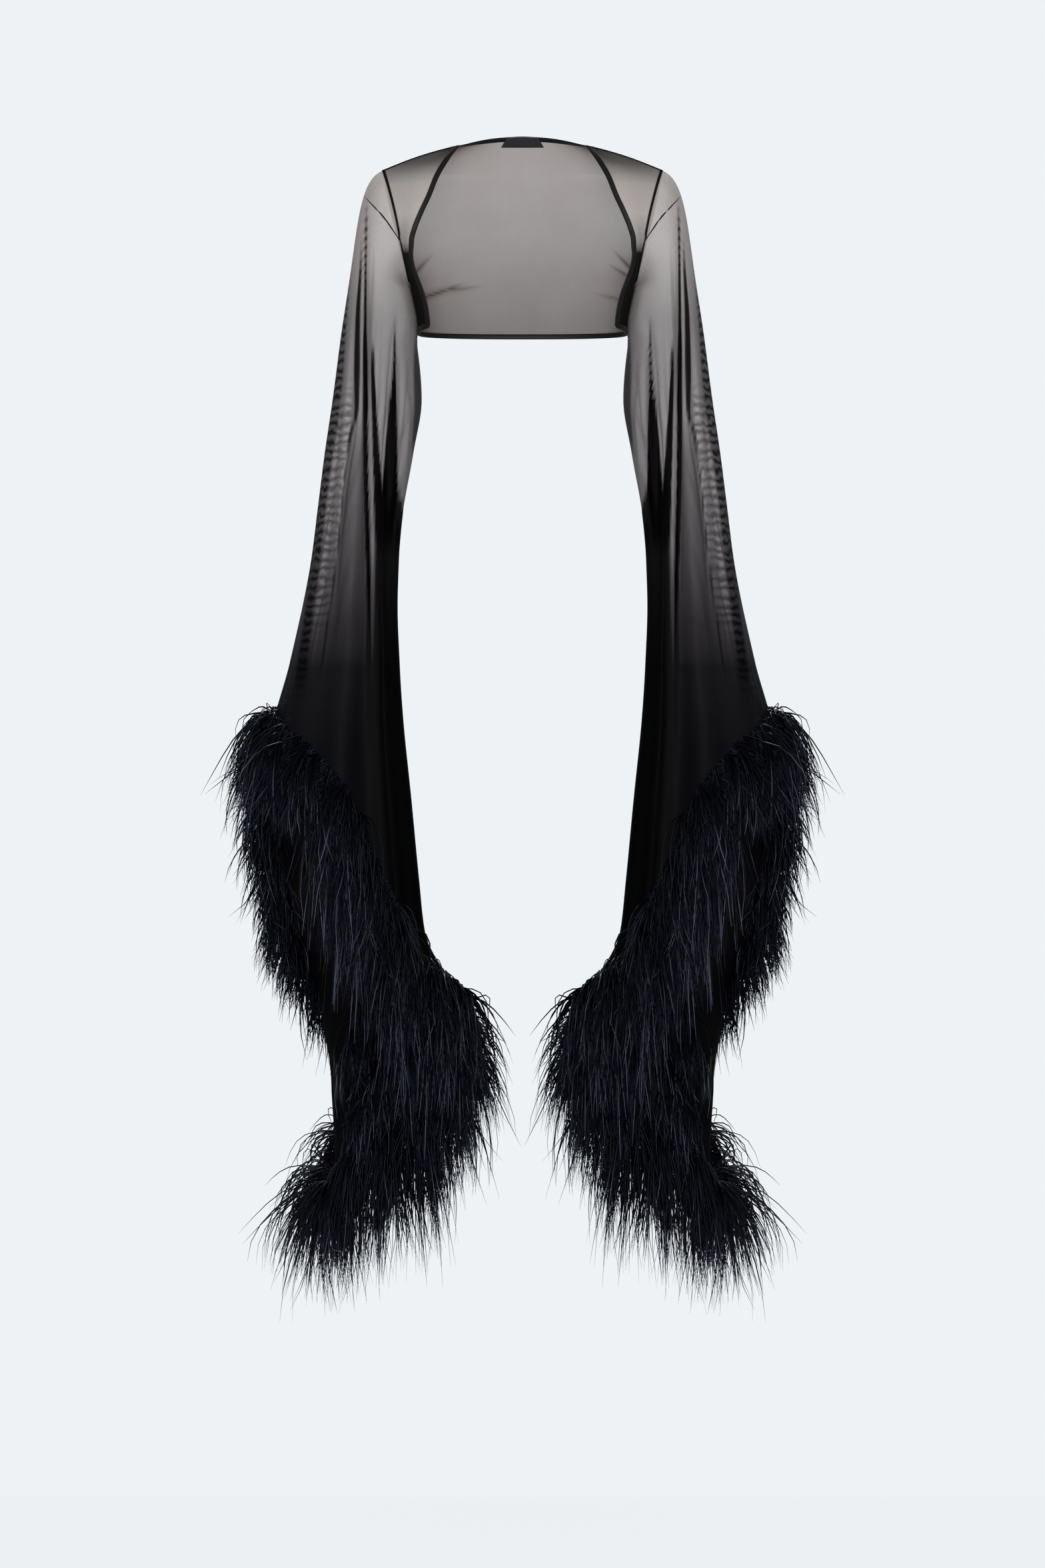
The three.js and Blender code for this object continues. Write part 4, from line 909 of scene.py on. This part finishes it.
back_facing = normals_of(back_points)
shoulder_rows, side_rows = FINER * SHOULDER_STEPS + 1, FINER * (SHOULDER_STEPS + ARMHOLE_STEPS)
SEAMS = [
    {"line": sleeve_points[0], "facing": normals_of(sleeve_points, True)[0], "closed": True},
    {"line": back_points[:shoulder_rows, -1], "facing": back_facing[:shoulder_rows, -1], "closed": False},
    {"line": back_points[side_rows:, -1], "facing": back_facing[side_rows:, -1], "closed": False},
]
stitching = overlock_tree()
oval_places = round_places(OVERLOCK["corners"])
sewn = []
for k, seam in enumerate(SEAMS):
    line, facing = seam["line"], seam["facing"]
    ahead = np.roll(line, -1, 0) - np.roll(line, 1, 0) if seam["closed"] else np.gradient(line, axis=0)
    aside = unit(np.cross(unit(ahead), facing))
    middle = line - facing * OVERLOCK["inside"]
    sections = sections_on(middle, aside, facing, oval_places, OVERLOCK["width"], OVERLOCK["thickness"])
    bound = link(bpy.data.objects.new(f"seam_{k}", tube_mesh(f"seam_{k}", sections, seam["closed"])))
    bound.data.materials.append(overlock_thread)
    guide = edge_guide(f"seam_edge_{k}", middle, seam["closed"], aside=aside * (OVERLOCK["width"] / 2) * MM,
                       above=facing * (OVERLOCK["thickness"] / 2) * MM,
                       onward=unit(ahead) * OVERLOCK["pitch"] * MM)
    loops = made_by(stitching, guide, f"seam_loops_{k}", {
        "Loops": round(length_of(line) / OVERLOCK["pitch"]), "Points": OVERLOCK["points"],
        "Radius": OVERLOCK["thread"] * MM, "Dye": overlock_thread,
    })
    sewn += [bound, loops]
# A sharp tuck that the cloth pulls into from the top of the sleeve's head down to the armhole in front. Its
# ends are slim: it starts and stops at "end" along half a turn of a sine, in radians.
TUCK = {"down": (74, 90, 105, 122, 139), "across": (210, 196, 183, 171, 160), "width": 2.0,
        "thickness": 1.2, "lift": 0.2, "steps": 24, "end": 0.15}
# How far round a spot cloth counts, across and down and then in depth, and what keeps near points finite.
FRONT_CLOTH = {"round": 12, "deep": 14, "blur": 0.8}


def on_front(points, spots, lift):
    """Spots given across and down, laid on the foremost face of a grid of points, a little before it."""
    cloth = points.reshape(-1, 3)
    laid = []
    for across, down in spots:
        off = np.hypot(cloth[:, 0] - across, cloth[:, 2] + down)
        near = cloth[off < FRONT_CLOTH["round"]]
        near = near[near[:, 1] < near[:, 1].min() + FRONT_CLOTH["deep"]]
        weight = 1 / (np.hypot(near[:, 0] - across, near[:, 2] + down) + FRONT_CLOTH["blur"]) ** 2
        laid.append((across, (near[:, 1] * weight).sum() / weight.sum() - lift, -down))
    return np.array(laid)


tuck_down = np.linspace(TUCK["down"][0], TUCK["down"][-1], TUCK["steps"])
tuck = on_front(sleeve_points, zip(read(TUCK, "down", "across", tuck_down), tuck_down), TUCK["lift"])
tuck_ahead = unit(np.gradient(tuck, axis=0))
tuck_facing = unit(np.array([0.0, -1.0, 0.0]) - tuck_ahead * -tuck_ahead[:, 1:2])
tuck_aside = unit(np.cross(tuck_ahead, tuck_facing))
slim = np.sin(np.linspace(TUCK["end"], np.pi - TUCK["end"], len(tuck)))[:, None, None]
sections = sections_on(tuck, tuck_aside, tuck_facing, oval_places, TUCK["width"] * slim,
                       TUCK["thickness"] * slim)
folded = link(bpy.data.objects.new("sleeve_head_tuck", tube_mesh("sleeve_head_tuck", sections, False)))
folded.data.materials.append(overlock_thread)
sewn.append(folded)
left_seams = joined("overlocked_seams_left", sewn)
for seams in (left_seams, twin_of(left_seams, "overlocked_seams_right")):
    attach(seams, "root")


# The edge binding: one strip of folded knit round the neck, down both free edges and round the hem. It wraps
# the raw edge of the net; its stitching near its inner side is not drawn.
BINDING = {"width": 7.0, "thickness": 2.2, "laps": 1.0, "corners": 10, "flatness": 0.6, "steps": 900}


def edge_loop():
    """The raw edge once round: along the neck, down the left front, round the hem and up the right front."""
    back_rows = normals_of(back_points)
    front_rows = normals_of(front_points)
    left = (np.concatenate([front_points[1:, -1], front_points[-1, -2:0:-1]]),
            np.concatenate([front_rows[1:, -1], front_rows[-1, -2:0:-1]]))
    other = (-1, 1, 1)
    points = [back_points[0], left[0], back_points[-1, ::-1], left[0][::-1] * other]
    normals = [back_rows[0], left[1], back_rows[-1, ::-1], left[1][::-1] * other]
    return np.concatenate(points), np.concatenate(normals)


def resampled(loop, vectors, count):
    """A closed loop of points and the vectors at them, at equal steps."""
    ring, turned = np.concatenate([loop, loop[:1]]), np.concatenate([vectors, vectors[:1]])
    along = np.concatenate([[0], np.cumsum(np.linalg.norm(np.diff(ring, axis=0), axis=1))])
    places = np.linspace(0, along[-1], count, endpoint=False)
    points = np.stack([np.interp(places, along, ring[:, k]) for k in range(3)], -1)
    return points, unit(np.stack([np.interp(places, along, turned[:, k]) for k in range(3)], -1))


binding_line, binding_normals = resampled(*edge_loop(), BINDING["steps"])
out_of_edge, binding_normals = loop_frame(binding_line, binding_normals)[1:]
places = round_places(BINDING["corners"])
flat_places = np.sign(places) * np.abs(places) ** BINDING["flatness"]
middle = binding_line + out_of_edge * (BINDING["width"] / 2 - BINDING["laps"])
sections = sections_on(middle, out_of_edge, binding_normals, flat_places, BINDING["width"],
                       BINDING["thickness"])
binding = link(bpy.data.objects.new("edge_binding_knit", tube_mesh("edge_binding_knit", sections)))

# Black cotton and elastane jersey, folded over the edge: matt, with a fine knitted grain.
binding_knit = patterned(
    "folded_jersey_binding", {"Roughness": 0.55, "Sheen Weight": 0.04, "Specular IOR Level": 0.15},
    ("ShaderNodeTexNoise", {"Scale": 420.0, "Detail": 2.0}), "Object", [(0.3, "#040405"), (0.75, "#121114")],
    relief={"Strength": 0.3, "Distance": 0.0004})
binding.data.materials.append(binding_knit)
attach(binding, "root")
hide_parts("edge_binding")


# The label: a small woven satin tab sewn over the binding inside the back of the neck. It is blank.
LABEL = {"width": 49, "height": 16, "thickness": 0.8, "clear": 0.3, "rows": 8, "columns": 24, "rib": 0.0012}


def label_grid():
    """The label's middle: the back's own neck edge and the way down from it, moved inside the binding."""
    across = np.linspace(-0.5, 0.5, LABEL["columns"] + 1) * LABEL["width"]
    edge, facing = back_points[0], back_facing[0]
    downwards = unit(back_points[3] - edge)
    at = [np.stack([np.interp(across, edge[:, 0], column[:, k]) for k in range(3)], -1)
          for column in (edge, facing, downwards)]
    inside = BINDING["thickness"] / 2 + LABEL["clear"] + LABEL["thickness"] / 2
    reach = np.linspace(-BINDING["width"], LABEL["height"] - BINDING["width"], LABEL["rows"] + 1)
    return at[0][None] + unit(at[2])[None] * reach[:, None, None] - unit(at[1])[None] * inside


label_points = label_grid()
label = net_panel("blank_neck_label", label_points, np.zeros(label_points.shape[:2]))
label.modifiers[0].thickness = LABEL["thickness"] * MM

# Woven polyester satin, dyed black: smooth, with fine ribs of weft across it, drawn at 1.2 mm to show.
satin = patterned(
    "woven_satin_label", {"Roughness": 0.45, "Specular IOR Level": 0.25},
    ("ShaderNodeTexWave", {"Scale": WAVE / LABEL["rib"]}), "UV", [(0, "#17161a"), (1, "#232227")],
    relief={"Strength": 0.2, "Distance": 0.0002}, bands_direction="Y")
label.data.materials.append(satin)
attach(label, "root")
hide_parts("neck_label")


# The feather trim: ostrich flues, soft barbs most of which are 80 to 150 mm long, sewn by their roots in
# bunches to a narrow tape round the whole hem of a sleeve. They stand out from it, arch over and hang down.
TAPE = {"width": 7, "thickness": 2.4, "laps": 1, "corners": 8, "steps": 420, "rib": 0.0015}
FLUES = {"bunch_every": 9.0, "thickness": 1.25, "points": 7}
# Round the hem, as shares of its stations: how far the flues stand out, how far they hang, how far they lean
# from the cloth's own plane to its outer face, in radians, and how far they sweep on along the hem.
PLUMAGE = {
    "share": (0, 0.08, 0.16, 0.24, 0.32, 0.36, 0.40, 0.44, 0.48, 0.52, 0.56, 0.60, 0.64, 0.66, 0.70, 0.74,
              0.78, 0.84, 0.88, 0.92, 0.96, 1),
    "reach": (52, 48, 42, 40, 38, 44, 46, 42, 38, 44, 56, 70, 56, 30, 26, 26, 16, 16, 26, 40, 48, 52),
    "drop": (88, 96, 110, 118, 108, 94, 92, 98, 130, 148, 128, 106, 60, 90, 104, 96, 76, 76, 84, 88, 88, 88),
    "lean": (0.2, 0.3, 0.35, 0.3, 0.4, 0.5, 0.7, 0.2, 0, 0, -0.2, -0.8, -1.6, 0.3, 1.1, 1.1, 0.4, -0.1, 0,
             0.1, 0.2, 0.2),
    "sweep": (0, 0, 0, 0, 0, 0, 0, 0, 0.1, 0.3, 1.2, 0.3, 0, 0, 0, 0, 0, 0, 0, 0, 0, 0),
}
# The trim is made in stretches. Where the hem turns up in front a second row of longer flues lies under it.
TRIM_PARTS = rows_of(
    "name hem in_a_bunch reaches hangs leans",
    ("upper", (0, 0.3), 38, 1, 1, 0),
    ("lower", (0.3, 0.62), 38, 1, 1, 0),
    ("behind", (0.62, 1), 32, 1, 1, 0),
    ("under", (0.16, 0.38), 30, 0.7, 1.75, -0.3),
)
hem = sleeve_points[-1]
hem_along, hem_inward, hem_facing = loop_frame(hem, normals_of(sleeve_points, True)[-1])

# A flue goes out fast and then slower: by 2 times its way less "slows" times the square of the way. A few stray
# flues reach up to "strays" further. "shaded_root_tone" is how pale a root is beside its tip, a painted shade
# at the root, and "tip" how much of its width a flue has left at its tip.
FLUE_FORM = {"slows": 0.85, "strays": 0.45, "rarity": 9.0, "shaded_root_tone": 0.35, "tip": 0.08}


def trim_tree():
    """Ostrich flues along an edge: bunches at equal steps, each a fan of flues bent over by their weight."""
    tree, given, roots, strand = strand_group(
        "ostrich_flues_on_a_tape", [("Flues in a bunch", "Int"), ("Thickness", "Float")], "Bunches", -0.01)
    index = add_node(tree, "GeometryNodeInputIndex")
    bunches = add_node(tree, "GeometryNodeStoreNamedAttribute", {"Name": "bunch"},
                       {"Geometry": roots, "Value": index.outputs[0]}, data_type="INT")
    flues = add_node(tree, "GeometryNodeDuplicateElements", domain="POINT",
                     links={"Geometry": bunches.outputs[0], "Amount": given["Flues in a bunch"]})
    held = {}
    for kind, names in (("FLOAT_VECTOR", ("outward", "facing", "along")), ("INT", ("bunch",)),
                        ("FLOAT", ("reach", "drop", "lean", "sweep"))):
        for name in names:
            held[name] = add_node(tree, "GeometryNodeInputNamedAttribute", {"Name": name},
                                  data_type=kind).outputs["Attribute"]
    # Chance differs from flue to flue, or from bunch to bunch where "by" says so. Vectors are in metres.
    for seed, name, by, low, high in (
            (0, "bunch_lean", "bunch", -0.75, 0.75), (1, "flue_lean", None, -0.6, 0.6),
            (2, "bunch_yaw", "bunch", -0.7, 0.7), (3, "flue_yaw", None, -0.5, 0.5),
            (4, "flue_reach", None, 0.25, 1.2), (5, "bunch_drop", "bunch", 0.8, 1.1),
            (6, "flue_drop", None, 0.6, 1.12), (7, "width", None, 0.6, 1.15),
            (8, "tone", None, 0, 1), (9, "stray", None, 0, 1)):
        held[name] = add_node(tree, "FunctionNodeRandomValue", {2: low, 3: high, "Seed": seed},
                              {"ID": held[by]} if by else {}).outputs[1]
    for seed, name, by, most in ((21, "sway", None, 0.018), (22, "bunch_sway", "bunch", 0.018),
                                 (23, "scatter", None, 0.005), (24, "kink", None, 0.07)):
        held[name] = add_node(tree, "FunctionNodeRandomValue",
                              {0: (-most,) * 3, 1: (most,) * 3, "Seed": seed},
                              {"ID": held[by]} if by else {}, data_type="FLOAT_VECTOR").outputs[0]

    def blended(*pairs):
        """The sum of vectors, each given by its name and, where it is scaled, the name of its scale."""
        total = None
        for names in map(str.split, pairs):
            part = held[names[0]]
            if len(names) > 1:
                part = add_node(tree, "ShaderNodeVectorMath", links={0: part, "Scale": held[names[1]]},
                                operation="SCALE").outputs[0]
            if total is not None:
                part = add_node(tree, "ShaderNodeVectorMath", links={0: total, 1: part}).outputs[0]
            total = part
        return total

    work_out(tree, held, [
        ("leaning", "ADD", "lean", "bunch_lean"), ("leaning", "ADD", "leaning", "flue_lean"),
        ("upright", "COSINE", "leaning"), ("aside", "SINE", "leaning"),
        ("yaw", "ADD", "sweep", "bunch_yaw"), ("yaw", "ADD", "yaw", "flue_yaw"),
        ("strays", "POWER", "stray", FLUE_FORM["rarity"]),
        ("further", "MULTIPLY_ADD", "strays", FLUE_FORM["strays"], 1),
        ("reaching", "MULTIPLY", "reach", "flue_reach"), ("reaching", "MULTIPLY", "reaching", "further"),
        ("hang", "MULTIPLY", "drop", "flue_drop"), ("hang", "MULTIPLY", "hang", "bunch_drop"),
    ])
    heading = blended("outward upright", "facing aside", "along yaw")
    held["heading"] = add_node(tree, "ShaderNodeVectorMath", links={0: heading},
                               operation="NORMALIZE").outputs[0]
    held["position"] = add_node(tree, "GeometryNodeInputPosition").outputs[0]
    named = flues.outputs["Geometry"]
    for name, kind, value in (
            ("root", "FLOAT_VECTOR", blended("position", "scatter")),
            ("away", "FLOAT_VECTOR", blended("heading reaching")),
            ("curl", "FLOAT_VECTOR", blended("sway", "bunch_sway")),
            ("kink", "FLOAT_VECTOR", held["kink"]), ("hang", "FLOAT", held["hang"]),
            ("width", "FLOAT", held["width"]), ("tone", "FLOAT", held["tone"])):
        named = add_node(tree, "GeometryNodeStoreNamedAttribute", {"Name": name},
                         {"Geometry": named, "Value": value}, data_type=kind).outputs[0]
        held[name] = add_node(tree, "GeometryNodeInputNamedAttribute", {"Name": name},
                              data_type=kind).outputs["Attribute"]
    single, held["way"] = strand_on_each(tree, named, strand)

    # A flue falls and curls with the square of the way along it. Its colour is painted darker towards the root,
    # a painted shade of the other flues, so that its tip shows paler, a painted highlight.
    held["thickness"] = given["Thickness"]
    work_out(tree, held, [
        ("square", "MULTIPLY", "way", "way"), ("twice", "MULTIPLY", "way", 2),
        ("outgoing", "MULTIPLY_ADD", "square", -FLUE_FORM["slows"], "twice"),
        ("fall", "MULTIPLY", "hang", "square"), ("fall", "MULTIPLY", "fall", -1),
        ("left over", "SUBTRACT", 1, "way"), ("kinked", "MULTIPLY", "square", "left over"),
        ("paler", "MULTIPLY_ADD", "way", 1 - FLUE_FORM["shaded_root_tone"], FLUE_FORM["shaded_root_tone"]),
        ("shade", "MULTIPLY", "tone", "paler"), ("taper", "SUBTRACT", 1 + FLUE_FORM["tip"], "square"),
        ("thickness", "MULTIPLY", "thickness", "width"), ("thickness", "MULTIPLY", "thickness", "taper"),
    ])
    held["falling"] = add_node(tree, "ShaderNodeCombineXYZ", links={"Z": held["fall"]}).outputs[0]
    bent = blended("away outgoing", "curl square", "kink kinked", "falling", "root")
    arched = add_node(tree, "GeometryNodeSetPosition", links={"Geometry": single, "Position": bent})
    shaded = add_node(tree, "GeometryNodeStoreNamedAttribute", {"Name": "tone"},
                      {"Geometry": arched.outputs[0], "Value": held["shade"]}, data_type="FLOAT")
    return finish_strands(tree, given, shaded.outputs[0], held["thickness"])


# Ostrich flue, dyed black: a limp keratin barb with fluffy barbules, near black with a cool soft shine.
ostrich, tree, shader = new_material("dyed_ostrich_flue", {
    "Roughness": 0.34, "Specular IOR Level": 0.22, "Specular Tint": linear("#a9b0d0"),
})
# The colour follows the "tone" attribute: a random tone from flue to flue, times a painted shade that darkens
# each flue towards its root.
tone = add_node(tree, "ShaderNodeAttribute", attribute_name="tone")
shade = add_node(tree, "ShaderNodeValToRGB", links={"Fac": tone.outputs["Fac"]})
set_marks(shade, [(0, linear("#010102")), (0.66, linear("#050509")), (1, linear("#666a7e"))])
tree.links.new(shade.outputs["Color"], shader.inputs["Base Color"])

flue_tree = trim_tree()


def sew_flues(name, line, in_a_bunch, lengths, **vectors):
    """Sews flues along a line on the left and their twins on the right. "lengths" are in millimetres."""
    guide = edge_guide(f"line_{name}", line, **vectors, **{key: value * MM for key, value in lengths.items()})
    left = made_by(flue_tree, guide, f"flues_{name}_left", {
        "Bunches": round(length_of(line) / FLUES["bunch_every"]), "Flues in a bunch": in_a_bunch,
        "Thickness": FLUES["thickness"] * MM, "Points": FLUES["points"], "Dye": ostrich,
    })
    for side, flues in (("left", left), ("right", twin_of(left, f"flues_{name}_right"))):
        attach(flues, "root")
        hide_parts(f"feather_trim_{side}")


stations = np.linspace(0, 1, SLEEVE_COLUMNS + 1)
ring = np.arange(SLEEVE_COLUMNS + 1) % SLEEVE_COLUMNS
for part in TRIM_PARTS:
    first, last = part["hem"]
    chosen = (stations >= first - 1e-6) & (stations <= last + 1e-6)
    share, kept = stations[chosen], ring[chosen]
    grown = {c: read(PLUMAGE, "share", c, share) for c in ("reach", "drop", "lean", "sweep")}
    lengths = {"reach": grown["reach"] * part["reaches"], "drop": grown["drop"] * part["hangs"]}
    sew_flues(part["name"], hem[kept], part["in_a_bunch"], lengths, outward=-hem_inward[kept],
              facing=hem_facing[kept], along=hem_along[kept], lean=grown["lean"] + part["leans"],
              sweep=grown["sweep"])

# Two short rows more are sewn across the front of the free flap, above its hem, where the trim looks full.
FLAP_ROWS = rows_of(
    "name across down",
    ("high", (156, 186, 212, 230), (1056, 1098, 1140, 1186)),
    ("low", (140, 174, 205, 228), (1160, 1200, 1238, 1278)),
)
FLAP_FLUES = {"in_a_bunch": 30, "reach": 26, "drop": 92, "lean": 0.5, "lift": 1.5, "steps": 30}
for row in FLAP_ROWS:
    row_down = np.linspace(row["down"][0], row["down"][-1], FLAP_FLUES["steps"])
    row_across = read(row, "down", "across", row_down)
    sewn_on = on_front(sleeve_points, zip(row_across, row_down), FLAP_FLUES["lift"])
    even = np.ones(len(sewn_on))
    sew_flues(f"flap_{row['name']}", sewn_on, FLAP_FLUES["in_a_bunch"],
              {key: even * FLAP_FLUES[key] for key in ("reach", "drop")},
              outward=np.outer(even, (0, 0, -1)), facing=np.outer(even, (0, -1, 0)),
              along=unit(np.gradient(sewn_on, axis=0)), lean=even * FLAP_FLUES["lean"], sweep=even * 0)

# The tape that the flues are sewn to: a narrow strip of black twill that laps the raw hem of the net.
tape_line, tape_facing = resampled(hem, hem_facing, TAPE["steps"])
tape_in, tape_facing = loop_frame(tape_line, tape_facing)[1:]
tape_middle = tape_line - tape_in * (TAPE["width"] / 2 - TAPE["laps"])
tape_sections = sections_on(tape_middle, -tape_in, -tape_facing, round_places(TAPE["corners"]),
                            TAPE["width"], TAPE["thickness"])
tape = link(bpy.data.objects.new("feather_tape_left", tube_mesh("feather_tape_left", tape_sections)))

# Cotton twill tape, dyed dull black: deep and matt, with fine slanting ribs, drawn at 1.5 mm to show.
twill = patterned(
    "cotton_twill_tape", {"Roughness": 0.9, "Specular IOR Level": 0.02},
    ("ShaderNodeTexWave", {"Scale": WAVE / TAPE["rib"]}), "Object", [(0, "#010102"), (1, "#060609")],
    bands_direction="DIAGONAL")
tape.data.materials.append(twill)
for side, strip in (("left", tape), ("right", twin_of(tape, "feather_tape_right"))):
    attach(strip, "root")
    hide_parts(f"feather_trim_{side}")

bpy.context.view_layer.update()
